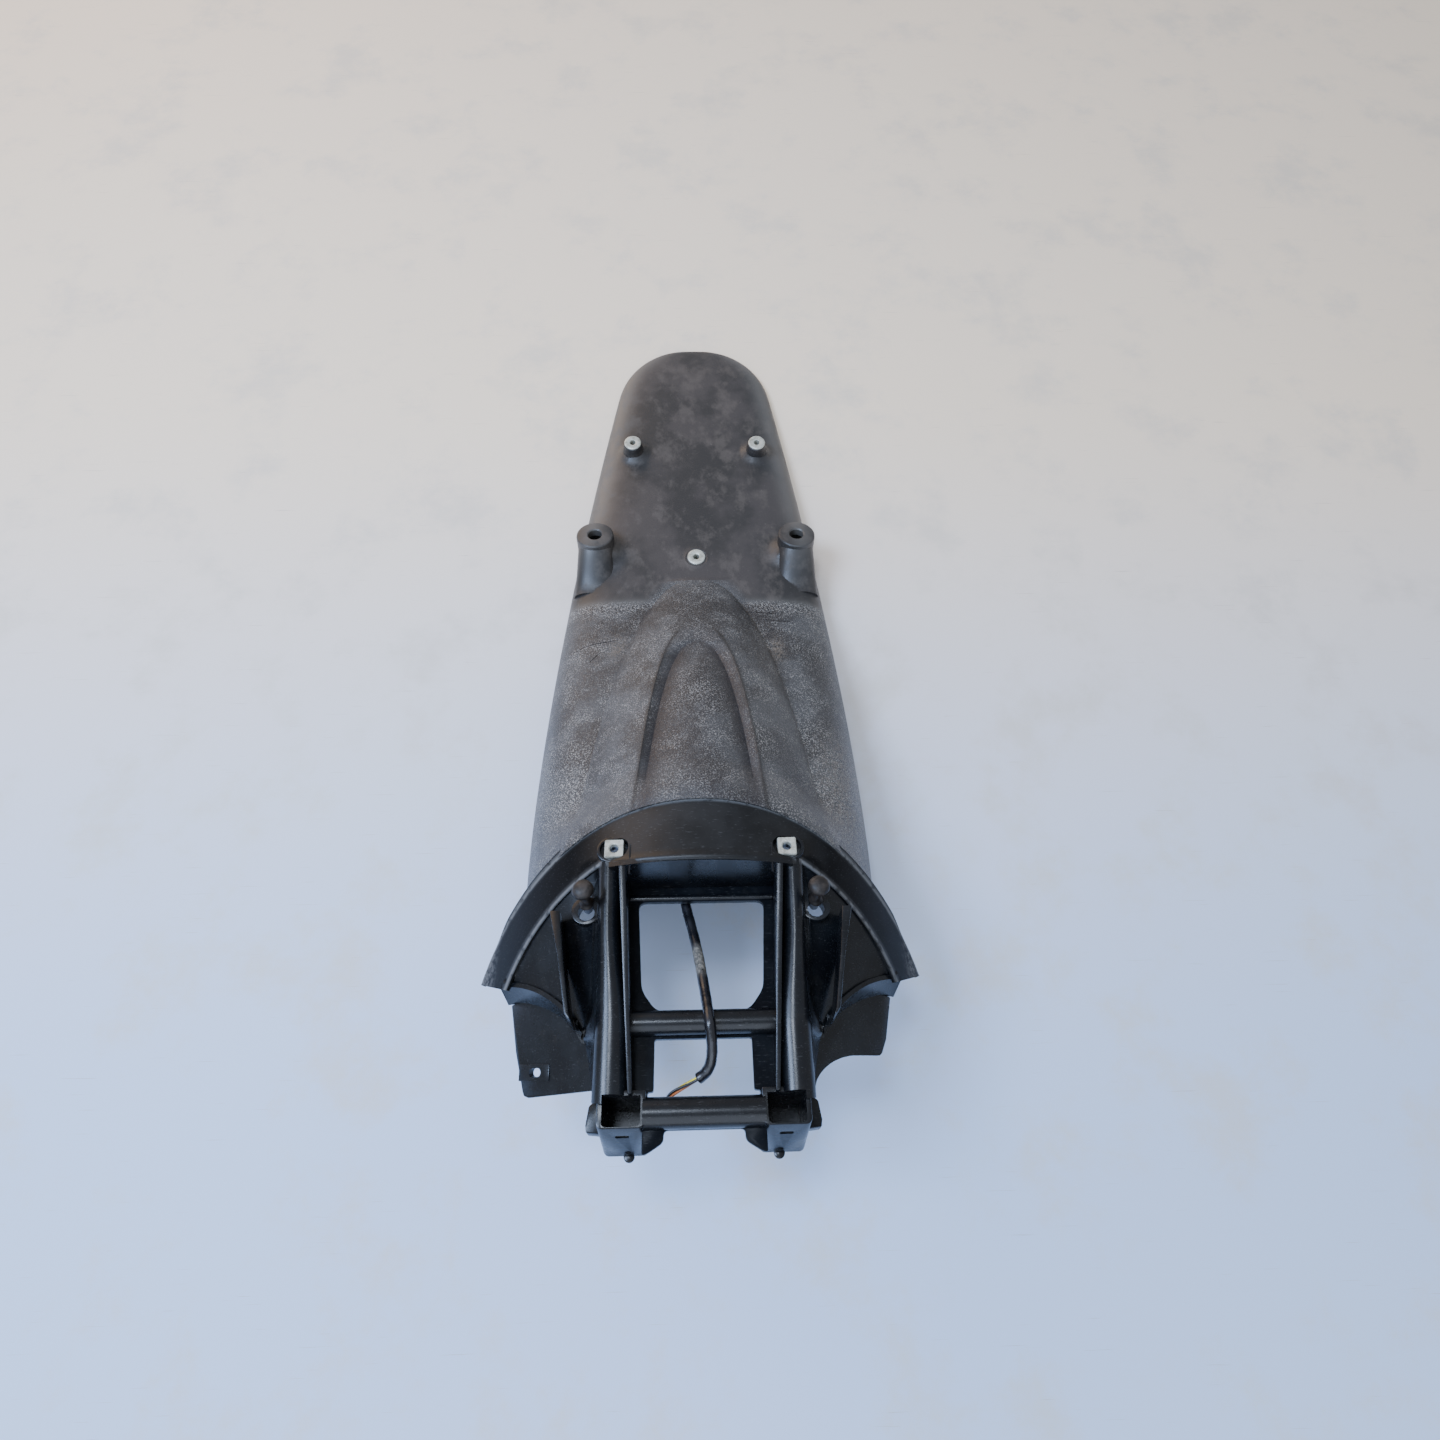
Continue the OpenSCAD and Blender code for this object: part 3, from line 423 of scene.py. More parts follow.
@dataclass(frozen=True)
class FenderLines:
    """The curves that every part of the moulding is drawn from, in millimetres on the bench drawing."""

    arc_y: float = 129.0
    tip_y: float = 606.0
    round_y: float = 544.0
    fold_y: float = 315.0
    hump_y: float = 338.0
    step_y: float = 93.0
    arc_radius: float = 137.6
    inner_radius: float = 115.0
    wall: float = 3.0
    draft: float = 0.19
    power: float = 4.5
    tilt: float = 14.0
    boss_x: float = 79.2
    insert_seat: float = 31.8
    insert_spots: tuple[tuple[float, float], ...] = ((-52.3, 473.0), (52.3, 473.0), (0.0, 360.0))
    nut_x: float = 47.5
    peg_x: float = 62.2
    pin_x: float = 38.5

    @property
    def arc_centre(self) -> float:
        """Where the centre of the front arc lies along the part."""
        return self.arc_y - self.arc_radius

    @property
    def slope(self) -> float:
        """Rise of the mould's tilted plane for each millimetre towards the front."""
        return math.tan(math.radians(self.tilt))

    def tip_round(self, y: np.ndarray) -> np.ndarray:
        """Return the share of the full width that is left in the round end of the tail."""
        s = np.clip((y - self.round_y) / 62, 0, 1)
        return (1 - s**2.35) ** (1 / 2.35)

    def half_width(self, y: np.ndarray) -> np.ndarray:
        """Return half of the skirts' width at their foot."""
        s = np.maximum(0, y - self.arc_y + 24) / (self.round_y - self.arc_y + 24)
        return (122 - 53 * s**1.5) * self.tip_round(y)

    def deck(self, y: np.ndarray) -> np.ndarray:
        """Return the height of the side decks, or of the flap's top behind the fold."""
        d = self.fold_y - y
        return 36.5 + np.where(d > 0, 0.375 * d, 0.1 * d)

    def base(self, x: np.ndarray, y: np.ndarray) -> np.ndarray:
        """Return the height of the channel without its hump: a squared-off ellipse across."""
        part = np.minimum(1, np.abs(x) / np.maximum(self.half_width(y), 1e-6))
        across = np.maximum(0, 1 - part**self.power) ** (1 / self.power)
        return self.deck(y) * self.tip_round(y) ** 0.6 * across

    @staticmethod
    def rise(y: np.ndarray, start: float, length: float, power: float) -> np.ndarray:
        """Return a curve that leaves zero at start and grows towards the front."""
        return np.maximum(0, (start - y) / length) ** power

    def spread(self, y: np.ndarray) -> np.ndarray:
        """Return how far the columns of points stand apart behind the hump."""
        return np.where(y <= self.hump_y, 1, (1 + np.clip((y - self.hump_y) / 25, 0, 3)) * self.tip_round(y))

    def panel_in(self, y: np.ndarray) -> np.ndarray:
        """Return half of the width of the sunk panel's floor."""
        return self.spread(y) * np.maximum(3, 41.5 * self.rise(y, 262, 133, 0.4))

    def panel_out(self, y: np.ndarray) -> np.ndarray:
        """Return half of the width of the sunk panel's upper edge."""
        return np.maximum(self.panel_in(y) + 2.5 * self.spread(y), 48 * self.rise(y, 279, 150, 0.36))

    def hump_foot(self, y: np.ndarray) -> np.ndarray:
        """Return half of the hump's width where it meets the decks."""
        return np.maximum(self.panel_out(y) + 5 * self.spread(y), 89 * self.rise(y, 338, 209, 0.42))

    def sink(self, x: np.ndarray, y: np.ndarray) -> np.ndarray:
        """Return the depth of the panel under the hump, deepest in the channel along its edge."""
        a, inner, outer = np.abs(x), self.panel_in(y), self.panel_out(y)
        full = 5 * smooth((279 - y) / 34)
        floor = full * (1 - 0.8 * (1 - (a / inner) ** 2) * smooth((262 - y) / 22))
        return np.where(a >= outer, 0, np.where(a >= inner, full * (outer - a) / (outer - inner), floor))

    def band(self, x: np.ndarray, y: np.ndarray) -> np.ndarray:
        """Return the height of the smooth band inside the front arc."""
        return 143 + (self.arc_y - 2 - y) * self.slope - 78 * (np.abs(x) / 122) ** 2.2

    def hump(self, x: np.ndarray, y: np.ndarray) -> np.ndarray:
        """Return the height of the skin over the hump: a blunt bell across, a flattening rise along."""
        s = np.clip((self.hump_y - y) / 209, 0, 1)
        foot = self.hump_foot(y)
        low = self.deck(np.array(self.hump_y))
        crown = low + (144.5 - low) * (1.18 * s - 0.18 * s * s)
        at_foot = self.base(foot, y)
        bell = np.maximum(0, 1 - (np.abs(x) / foot) ** (2.5 - 0.3 * s)) ** (1 / (1.7 - 0.7 * s))
        humped = at_foot + (crown - at_foot) * bell - self.sink(x, y)
        return np.where(y >= self.hump_y, self.base(x, y), humped)

    def lean(self, x: np.ndarray, y: np.ndarray, z: np.ndarray) -> np.ndarray:
        """Return x after the side walls have leaned in by the draft."""
        return x * (1 - self.draft * z / np.maximum(self.half_width(y), 1e-6))

    def surface(self, x: np.ndarray, y: np.ndarray) -> np.ndarray:
        """Return the height of the finished skin over a point of the plan, away from the front edge.

        Args:
            x: the distance from the middle.
            y: the station.

        Returns:
            The skin's height there, found by taking the lean out of x in a few steps.
        """
        u = np.asarray(x, float)
        for _ in range(12):
            z = np.where(np.abs(u) < self.hump_foot(y), self.hump(u, y), self.base(u, y))
            u = x / (1 - self.draft * z / self.half_width(y))
        return z

    @property
    def lip(self) -> tuple[float, float]:
        """Station and height of the tilted frame's origin, on the lip behind the rear window."""
        return self.step_y - 16, float(self.band(np.array(0.0), np.array(self.step_y))) - 33.5

    @property
    def tilted(self) -> Stand:
        """The tilted frame of the carrier."""
        return Stand((0, *self.lip), -self.tilt)

    def local(self, y: float, z: float) -> tuple[float, float]:
        """Return a point's place along and above the tilted floor."""
        c, s = math.cos(math.radians(self.tilt)), math.sin(math.radians(self.tilt))
        dy, dz = y - self.lip[0], z - self.lip[1]
        return dy * c - dz * s, dy * s + dz * c

    def floor(self, y: np.ndarray) -> np.ndarray:
        """Return the height of the tilted floor at a station."""
        return self.lip[1] + (self.lip[0] - y) * self.slope

    def on_floor(self, x: float, v: float, w: float) -> Stand:
        """Return the frame of a point of the tilted frame, tilted as the floor is."""
        return Stand(tuple(self.tilted.place(np.array([x, v, w]))), -self.tilt)

    @property
    def peg_seat(self) -> tuple[float, float]:
        """Place of the pegs' seats along and above the tilted floor."""
        return self.local(71.4, 134.5)[0], self.local(67.4, 134.5)[1]

    @property
    def socket_seat(self) -> tuple[float, float]:
        """Place of the sockets' rear walls along the tilted floor, and of their tops above it."""
        return self.local(-17.6, 152)[0], self.local(-35, 152)[1]

    @property
    def nut_seat(self) -> tuple[float, float]:
        """Place of the nuts' seats along and above the tilted floor."""
        y = self.step_y + 8.8
        v, w = self.local(y, float(self.band(np.array(self.nut_x), np.array(y))))
        return v, w - 2.8

    def rail_top(self, y: np.ndarray) -> np.ndarray:
        """Return the height of a rail's back at a station."""
        return float(self.band(np.array(0.0), np.array(self.step_y))) - 10.5 + 0.1 * (self.step_y - 3 - y)


LINES = FenderLines()


def wing_stand() -> Stand:
    """Return the frame of a wing, which leans away from its rail."""
    return Stand((64, 0, 120), 0, 31)


def boss_stand() -> Stand:
    """Return the frame of the lamp boss on the right, its top face at zero."""
    return Stand((LINES.boss_x, 373.6, 44), -LINES.tilt)


# The skin


@dataclass
class RearSkin:
    """The humped channel with its tail flap, its two lamp bosses and the posts under the plate's inserts."""

    material: bpy.types.Material = field(repr=False)
    panel_columns: int = 9
    slope_columns: int = 5
    hump_columns: int = 26
    side_columns: int = 24
    hump_rows: int = 118
    flap_rows: int = 70
    tip_rows: int = 26

    def stations(self) -> np.ndarray:
        """Return the stations of the rows, closer together towards the tip."""
        front = np.linspace(LINES.arc_y, LINES.hump_y, self.hump_rows + 1)
        flap = np.linspace(LINES.hump_y, LINES.round_y, self.flap_rows + 1)[1:]
        tip = LINES.round_y + 62 * (1 - (1 - np.linspace(0, 0.93, self.tip_rows + 1)[1:]) ** 2)
        return np.concatenate([front, flap, tip])

    def column_x(self, y: np.ndarray) -> tuple[np.ndarray, np.ndarray]:
        """Spread the columns of one half across the skin.

        Args:
            y: stations, rows by columns.

        Returns:
            x of each point before the walls lean, and how far down the side each column is, from 0 to 1.
        """
        n1, n2, n3, n4 = self.panel_columns, self.slope_columns, self.hump_columns, self.side_columns
        k = np.arange(n1 + n2 + n3 + n4 + 1)
        inner, outer = LINES.panel_in(y), LINES.panel_out(y)
        foot, half = LINES.hump_foot(y), LINES.half_width(y)
        a = np.clip(k / n1, 0, 1)
        b = np.clip((k - n1) / n2, 0, 1)
        c = np.clip((k - n1 - n2) / n3, 0, 1) ** 0.9
        d = np.clip((k - n1 - n2 - n3) / n4, 0, 1)
        start = np.arccos(np.clip(foot / half, 0, 1) ** (LINES.power / 2))
        side = half * np.cos(start * (1 - d)) ** (2 / LINES.power)
        near = inner * a + (outer - inner) * b + (foot - outer) * c
        return np.where(d > 0, side, near), d

    def outer(self) -> np.ndarray:
        """Return the grid of points of the outer face, from the left skirt to the right one.

        Rows follow the front arc at first and straighten towards the tail. Near the arc the skin is drawn to
        its small step above the band.
        """
        row = self.stations()[:, None]
        n = self.panel_columns + self.slope_columns + self.hump_columns + self.side_columns + 1
        y = np.repeat(row, n, 1)
        sweep = np.maximum(0, (275.3 - row) / 146.3) ** 1.2
        for _ in range(6):
            x, side = self.column_x(y)
            z = np.where(side > 0, LINES.base(x, y), LINES.hump(x, y))
            leaned = LINES.lean(x, y, z)
            fall = LINES.arc_radius - np.sqrt(LINES.arc_radius**2 - np.minimum(np.abs(leaned), 122) ** 2)
            y = row - sweep * fall
        x, side = self.column_x(y)
        z = np.where(side > 0, LINES.base(x, y), LINES.hump(x, y))
        x = LINES.lean(x, y, z)
        gap = LINES.band(x, y) + 1.5 - z
        near = smooth(1 - (row - LINES.arc_y) / 30)
        z = z + np.where(gap > 0, gap * (1 - side) ** 1.6, gap) * near
        z[:, -1] = 0
        half = np.stack([x, y, z], -1)
        return np.concatenate([half[:, :0:-1] * [-1, 1, 1], half], 1)

    def soften(self, outer: np.ndarray) -> np.ndarray:
        """Add the small shapes of the real skin: fillets round the bosses and posts, and a shallow dimple.

        A fillet rises as the square of the nearness to what it runs round.

        Args:
            outer: the grid of points of the outer face.

        Returns:
            The grid with its heights changed.
        """
        x, y, z = outer[..., 0], outer[..., 1], outer[..., 2]
        for radius, cx, cy, reach, lift in (
            (14.5, LINES.boss_x, 366, 9, 6), (9.3, 52.3, 473, 6, 3.2), (8.5, 0.0, 360, 3, 0.5),
        ):
            away = np.hypot(np.abs(x) - cx, y - cy) - radius
            z = z + lift * np.clip(1 - away / reach, 0, 1) ** 2 * (z > 4)
        z = z - 1.3 * np.exp(-((x / 8) ** 2) - ((y - 246) / 8) ** 2)
        return np.stack([x, y, z], -1)

    def sheet(self) -> Form:
        """Return the closed sheet of the skin, its wall inside its outer face."""
        outer = self.outer()
        inner = outer - LINES.wall * grid_normals(outer)
        inner[..., 1] = np.minimum(inner[..., 1], LINES.tip_y - 0.4)
        inner[..., 2] = np.maximum(inner[..., 2], 0.6)
        inner[:, [0, -1], 2] = 0
        return closed_sheet(self.soften(outer), inner)

    def boss(self) -> list[tuple[Cut, Form]]:
        """Return a lamp boss, its hollow and its bore, for the right side."""
        stand = boss_stand()
        body = lathe([(0.3, 0), (12.4, 0), (13.6, -0.3), (14.3, -1.1), (14.5, -2.4), (14.5, -34)], 72, stand)
        hollow = lathe([(0.2, -6), (10.6, -6), (11.5, -7), (11.5, -64)], 64, stand)
        bore = lathe([(6.2, 2), (6.2, 0.01), (5.4, -0.8), (5.4, -12)], 64, stand)
        return [(Cut.JOIN, body), (Cut.REMOVE, hollow), (Cut.REMOVE, bore)]

    def ramp(self) -> Form:
        """Return the smooth ramp in front of a boss, which falls from its wall to the deck.

        Its cross-section is half of an oval that widens, sinks and grows rounder towards the front.
        """
        t = np.linspace(0, 1, 26)[:, None]
        angle = np.linspace(0, math.pi, 25)[None, :]
        y = 366 - 37 * t
        half = 14.3 + 2.6 * t
        top = 46.2 - 15.4 * smooth(t) ** 0.85
        low = LINES.deck(y) - 14
        x = LINES.boss_x + half * np.cos(angle)
        z = low + (top - low) * np.sin(angle) ** (0.42 + 0.36 * t)
        ring = np.stack([x, y + 0 * angle, z], -1)
        flat = ring.copy()
        flat[..., 2] = low
        return closed_sheet(ring, flat + [0, 0, -0.5])

    def build(self) -> bpy.types.Object:
        """Build the skin as one solid with its bosses, posts and bores."""
        steps: list[tuple[Cut, Form]] = []
        for cut, form in [(Cut.JOIN, self.ramp()), *self.boss()]:
            steps += [(cut, form), (cut, form.mirrored())]
        feet, necks, widths = (15, 15, 12), (7.4, 7.4, 9.4), (9.6, 9.6, 9.4)
        for (x, y), foot, neck, wide in zip(LINES.insert_spots, feet, necks, widths):
            stand = Stand((x, y, LINES.insert_seat))
            steps.append((Cut.JOIN, lathe([(neck - 0.6, 0), (neck, -0.6), (wide, -foot)], 48, stand)))
            bore = [(4.45, 2), (4.45, -9.4), (2.9, -9.4), (2.9, -34)]
            steps.append((Cut.REMOVE, lathe(bore, 40, stand)))
        steps.append((Cut.REMOVE, lathe([(9.2, 5), (9.2, 0.9), (7.7, 0)], 56, stand)))
        piece = moulded("fender_skin", self.sheet(), steps)
        self.mark_zones(piece)
        return dress(piece, self.material, "fender_moulding", 30)

    def mark_zones(self, piece: bpy.types.Object) -> None:
        """Store where the skin is smooth, sunk, rubbed or dirty, and where shade and sheen are painted on it.

        Args:
            piece: the built skin.
        """
        p = places(piece.data)
        x, y, z = p.T
        away = np.hypot(np.abs(x) - LINES.boss_x, y - 367)
        flap = np.maximum(smooth((y - 313) / 7), smooth((27 - away) / 6) * 0.9)
        past_foot = np.abs(x) - LINES.hump_foot(y) + 1
        tail_of_hump = (y > 300) & (y < LINES.hump_y) & (past_foot < 2)
        mark(piece, "flap", np.where(tail_of_hump, smooth(past_foot / 2) * flap, flap))
        leaned = np.maximum(1 - LINES.draft * z / np.maximum(LINES.half_width(y), 1e-6), 0.2)
        a = np.abs(x) / leaned
        mark(piece, "groove", np.exp(-(((a - LINES.panel_out(y)) / 1.6) ** 2)) * smooth((281 - y) / 12))
        mark(piece, "sunk", smooth((LINES.panel_out(y) - a) / 3) * smooth((285 - y) / 15))
        # Painted shade: this mask darkens the gutters along the sunk panel's floor.
        mark(piece, "gutter_shade", np.exp(-(((a - LINES.panel_in(y) + 1.5) / 5.5) ** 2)) * smooth((274 - y) / 26))
        # The patch mask is partly painted sheen, on the flap's shoulders and as a light strip along the fold,
        # and partly lighter patches on the hump and on the decks beside its front.
        shoulder = np.exp(-(((a - LINES.half_width(y) * 0.93) / 9) ** 2)) * smooth((y - 330) / 60)
        strip = np.exp(-(((y - 312) / 6) ** 2)) * smooth((np.abs(x) - LINES.hump_foot(y)) / 8)
        spot = np.exp(-((x / 9) ** 2) - ((y - 213) / 9) ** 2)
        near = np.exp(-(((y - 150) / 32) ** 2)) * smooth((a - LINES.hump_foot(y) + 6) / 12)
        mark(piece, "patch", np.clip(0.5 * shoulder + 0.9 * strip + 0.8 * spot + 0.6 * near, 0, 1))
        glint = np.exp(-(((np.abs(x) - 58) / 5) ** 2) - ((y - 268) / 12) ** 2)
        corner = smooth((x - 60) / 40) * smooth((215 - y) / 60)
        mark(piece, "dirt", np.clip(0.9 * glint + 0.75 * corner, 0, 1))
        # Painted shade: the skirts darken towards their foot on the bench.
        mark(piece, "edge", smooth((7 - z) / 5) * (y > 300) + smooth((3 - z) / 2) * (y <= 300))


# The carrier


@dataclass
class FrontCarrier:
    """The smooth band inside the arc and the open frame in front of it, all of one moulding with the skin."""

    material: bpy.types.Material = field(repr=False)
    bar_halves: tuple[float, float] = (6.3, 7.25)
    window_rear: tuple[float, float, float] = (35.2, 32.2, 60.3)
    window_front: tuple[float, float] = (24.8, 27.5)
    socket: tuple[float, float, float, float] = (18.6, 12.1, 43.0, 39.9)

    # Stations of the bars and of the front edge, along the tilted floor
    @property
    def bar_rear(self) -> float:
        """Place of the rear crossbar's middle along the floor."""
        return -1 - self.window_rear[2] - self.bar_halves[0]

    @property
    def front_window_v(self) -> float:
        """Place of the front window's rear edge along the floor."""
        return -1 - self.window_rear[2] - 2 * self.bar_halves[0] - 1.2

    @property
    def bar_front(self) -> float:
        """Place of the front crossbar's middle along the floor."""
        return self.front_window_v - self.window_front[1] - self.bar_halves[1]

    @property
    def leg(self) -> float:
        """Place of the floor's front edge."""
        return self.bar_front - self.bar_halves[1]

    def band(self) -> Form:
        """Return the closed sheet of the band.

        Its rows run from the straight step and the inner arc to the outer arc, then on under the skin. Its
        edge over the panels ends in a low rounded lip.
        """
        tip = math.asin(130 / LINES.arc_radius)
        a = tip * np.linspace(-1, 1, 181)[None, :]
        outer = LINES.arc_radius * np.stack([np.sin(a), np.cos(a)], -1) + [0, LINES.arc_centre]
        b = a * 0.985
        inner = LINES.inner_radius * np.stack([np.sin(b), np.cos(b)], -1) + [0, LINES.arc_centre]
        inner[..., 1] = np.minimum(inner[..., 1], LINES.step_y)
        f = np.array([1, 0.975, 0.95, 0.92, 0.88, 0.8, 0.7, 0.6, 0.5, 0.4, 0.3, 0.2, 0.12, 0.06, 0, -1])
        f = f[:, None]
        plan = outer + (inner - outer) * np.maximum(0, f)[..., None]
        plan[..., 1] += (f < 0) * 4.5 * smooth((np.degrees(tip) * (1 - np.abs(a / tip)) - 9) / 6)
        z = LINES.band(plan[..., 0], plan[..., 1]) - (f < 0) * 0.2
        z = z + 0.5 * np.exp(-(((f - 0.935) / 0.03) ** 2)) - 0.5 * smooth((f - 0.97) / 0.03)
        return thickened(np.concatenate([plan, z[..., None]], -1), LINES.wall)

    def side_panel(self) -> Form:
        """Return the right panel between the band and the rail, ruled from its foot to the inner arc."""
        feet = np.array([
            [107.5, 32], [97.4, 31.5], [87.8, 28.2], [78.4, 22.7], [71.8, 17.2], [64.5, 8.5],
            [59.6, 16], [58.7, 32], [58.4, 50], [58.4, 68], [57.4, 84], [52, 94]])  # fmt: skip
        turn = np.radians([68.2, 64.5, 59.5, 54, 49.5, 45.5, 42, 38, 34, 30.5, 28, 26.2])
        r = LINES.inner_radius + 1.6
        arc = np.stack([r * np.sin(turn), LINES.arc_centre + r * np.cos(turn)], -1)
        low = 132.5 - 0.63 * (feet[:, 0] - 62) - np.where(np.arange(12) > 5, 0, 1.5)
        foot = np.c_[feet, low]
        top = np.c_[arc, LINES.band(arc[:, 0], arc[:, 1]) - 1.1]
        f = np.linspace(0, 1, 9)[None, :, None]
        fine = smooth_line(np.stack([foot, top], 1), 4)
        grid = fine[:, :1] + (fine[:, 1:] - fine[:, :1]) * f
        grid[..., 2] -= 1.6 * np.sin(math.pi * f[..., 0]) * (grid[..., 0] > 0)
        return thickened(grid, LINES.wall)

    def rail(self) -> Form:
        """Return the right rail: a hollow ridge whose profile changes from station to station."""
        stations = (-24, -19, -14, -9, -4, 0, 5, 9, 14, 18, 22, 26, 31, 35, 40, 46, 52, 61, 70, 82, 94.9)
        profiles = []
        for y in stations:
            t = (96 - y) / 110
            top = float(LINES.rail_top(np.array(y)))
            foot = 132.0 if y > 4 else 123.0
            outer = 57 + (54.8 - 57) * min(1, max(0, t * 2.2))
            inner = 44.0 + (37.5 - 44.0) * float(smooth((64 - y) / 58))
            if y > 20:
                edge = 58.8
            elif y > 4:
                edge = 58.8 + 2.7 * min(1, max(0, (20 - y) / 16))
            else:
                edge = 61.5 - 4.5 * min(1, max(0, (4 - y) / 24))
            low = float(LINES.floor(np.array(y))) - 2
            arch = np.radians(np.linspace(180, 0, 9))
            half = (outer - inner) / 2
            back = [[(inner + outer) / 2 + half * np.cos(a), y, top - 7.5 + 7.5 * np.sin(a)] for a in arch]
            profiles.append([
                [inner - 1.2, y, min(low, top - 12)],
                [inner - 0.4, y, low + (top - 7.5 - low) * 0.6],
                *back,
                [outer + (edge - outer) * 0.5, y, top - 7.5 + (foot - top + 7.5) * 0.6],
                [edge, y, foot],
            ])  # fmt: skip
        grid = smooth_line(np.array(profiles), 3)
        grid = np.swapaxes(smooth_line(np.swapaxes(grid, 0, 1), 3), 0, 1)
        return thickened(grid, LINES.wall)

    def floor(self) -> list[tuple[Cut, Form]]:
        """Return the carrier's floor and the cuts of its two windows, each with rounded corners."""
        leg, stand = self.leg, LINES.tilted
        half = [
            (46, 11), (45, -40), (40, -60), (40, leg + 10), (30, leg + 10), (30, leg - 10.5), (27, leg - 9.5),
            (19.6, leg - 5), (19.6, leg),
        ]  # fmt: skip
        outline = half + [(-x, y) for x, y in half[::-1]]
        r0, r1, length = self.window_rear
        rear = [(r0, -1), (r1, 10 - length), (r1 - 8, -1 - length)]
        rear += [(-x, y) for x, y in rear[::-1]]
        w, deep = self.window_front
        v = self.front_window_v
        front = [(w, v), (w, v - deep + 2.6), (w + 3, v - deep + 2.6), (w + 3, v - deep)]
        front += [(-x, y) for x, y in front[::-1]]
        return [
            (Cut.JOIN, prism(eased(outline, 4), -LINES.wall, 0, stand).rounded(0.4, 50)),
            (Cut.REMOVE, prism(eased(rear, 4.5), -9, 9, stand)),
            (Cut.REMOVE, prism(eased(front, 1.4), -9, 9, stand)),
        ]

    def bar(self, v: float, radius: float, half: float) -> Form:
        """Return a crossbar, a rounded channel open underneath, with a low bead along its rear edge.

        Args:
            v: place of its middle along the floor.
            radius: radius of its rounded back.
            half: half of its length.

        Returns:
            The closed sheet of the bar.
        """
        angle = np.radians(np.linspace(-112, 112, 41))
        x = np.linspace(-half, half, 3)
        y = v + radius * np.sin(angle)[:, None] + 0 * x
        z = 0.16 * radius + radius * np.cos(angle)[:, None] + 0 * x
        z = z + 0.3 * np.exp(-(((y - v - 0.72 * radius) / 0.9) ** 2))
        outer = np.stack([np.broadcast_to(x, y.shape)[:, ::-1], y, np.maximum(z, -LINES.wall)], -1)
        c = np.array([0, v, 0.16 * radius])
        inner = c + (outer - c) * np.array([1, (radius - 2.8) / radius, (radius - 2.8) / radius])
        inner[..., 2] = np.where(outer[..., 2] <= -LINES.wall, -LINES.wall, inner[..., 2])
        return closed_sheet(LINES.tilted.place(outer)[::-1], LINES.tilted.place(inner)[::-1])

    def lip_bead(self) -> Form:
        """Return the low rounded bead on the floor's lip behind the rear window."""
        angle = np.radians(np.linspace(-100, 100, 17))
        x = np.linspace(-40, 40, 3)
        y = 0.9 + 1.9 * np.sin(angle)[:, None] + 0 * x
        z = 0.2 + 1.5 * np.cos(angle)[:, None] + 0 * x
        outer = np.stack([np.broadcast_to(x, y.shape)[:, ::-1], y, z], -1)
        inner = outer.copy()
        inner[..., 1:] = [0.9, 0.2] + (outer[..., 1:] - [0.9, 0.2]) * 0.3
        return closed_sheet(LINES.tilted.place(outer)[::-1], LINES.tilted.place(inner)[::-1])

    def step_wall(self) -> Form:
        """Return the wall under the straight step, its top following the band's fall."""
        z = float(LINES.band(np.array(0.0), np.array(LINES.step_y)))
        v, w = LINES.local(LINES.step_y, z)
        x = np.linspace(-49.8, 49.8, 31)
        top = w - 1.2 - 185 + np.sqrt(185**2 - x**2)
        points = np.stack([
            np.stack([x, v + 0 * x, -3 + 0 * x], -1), np.stack([x, v + 0 * x, top], -1)])  # fmt: skip
        back = points + [0, 3, 0]
        return closed_sheet(LINES.tilted.place(points), LINES.tilted.place(back))

    def inner_rib(self) -> Form:
        """Return the right rib beside the windows, cut to one sloping top."""
        t0 = float(LINES.rail_top(np.array(0.0))) + 4 - 0.03 * 90
        c, s = math.cos(math.radians(LINES.tilt)), math.sin(math.radians(LINES.tilt))
        v0 = LINES.local(94, t0 - 0.07 * 93)[0]
        v1 = LINES.local(-20, t0 + 0.07 * 20)[0]
        ends = []
        for x, half, v in ((42.8, 1.9, v0), (35.7, 1.15, v1)):
            w = (t0 - 0.07 * (77 + v * c) - LINES.lip[1] + v * s) / (c + 0.07 * s)
            ends += [[x - half, v, -3], [x + half, v, -3], [x - half, v, w], [x + half, v, w]]
        points = LINES.tilted.place(np.array(ends))
        faces = [[0, 2, 3, 1], [4, 5, 7, 6], [2, 6, 7, 3], [0, 1, 5, 4], [0, 4, 6, 2], [1, 3, 7, 5]]
        return Form(points, faces).rounded(0.7)

    def outer_rib(self) -> Form:
        """Return the right upright rib on the side panel."""
        v0, v1, v2 = (LINES.local(y, z)[0] for y, z in ((68, 135), (43.5, 137.5), (13.5, 138)))
        plan = [(75.6, v0), (81, v0), (74.8, v1), (68.8, v2), (66.6, v2 - 3), (65.4, v2 - 3), (66.6, v2)]
        plan.append((72.2, v1))
        return prism(plan, -2, 19, LINES.tilted).rounded(0.7)

    def socket_forms(self) -> list[tuple[Cut, Form]]:
        """Return the right socket at the front and its cavity.

        The block is a stack of plans with rounded front corners, and its front leans out towards its foot.
        """
        wide, deep, tall, x0 = self.socket
        v, top = LINES.socket_seat

        def block(grow: float, low: float, high: float) -> Form:
            """Return the block, larger by a wall's thickness or not at all."""
            half, back = wide / 2 + grow, v + grow - 2.4
            angle = np.radians(np.linspace(0, 90, 7))
            r = 3.0 if grow else 2.2
            rings = []
            for h in (high, low):
                front = back - deep - 2 * grow - 5.8 * (high - h) / tall
                left = [(x0 - half + r - r * math.cos(a), front + r - r * math.sin(a)) for a in angle]
                right = [(x0 + half - r + r * math.sin(a), front + r - r * math.cos(a)) for a in angle]
                rings.append([(x, y, h) for x, y in (*left, *right, (x0 + half, back), (x0 - half, back))])
            return ringed(np.array(rings), LINES.tilted)

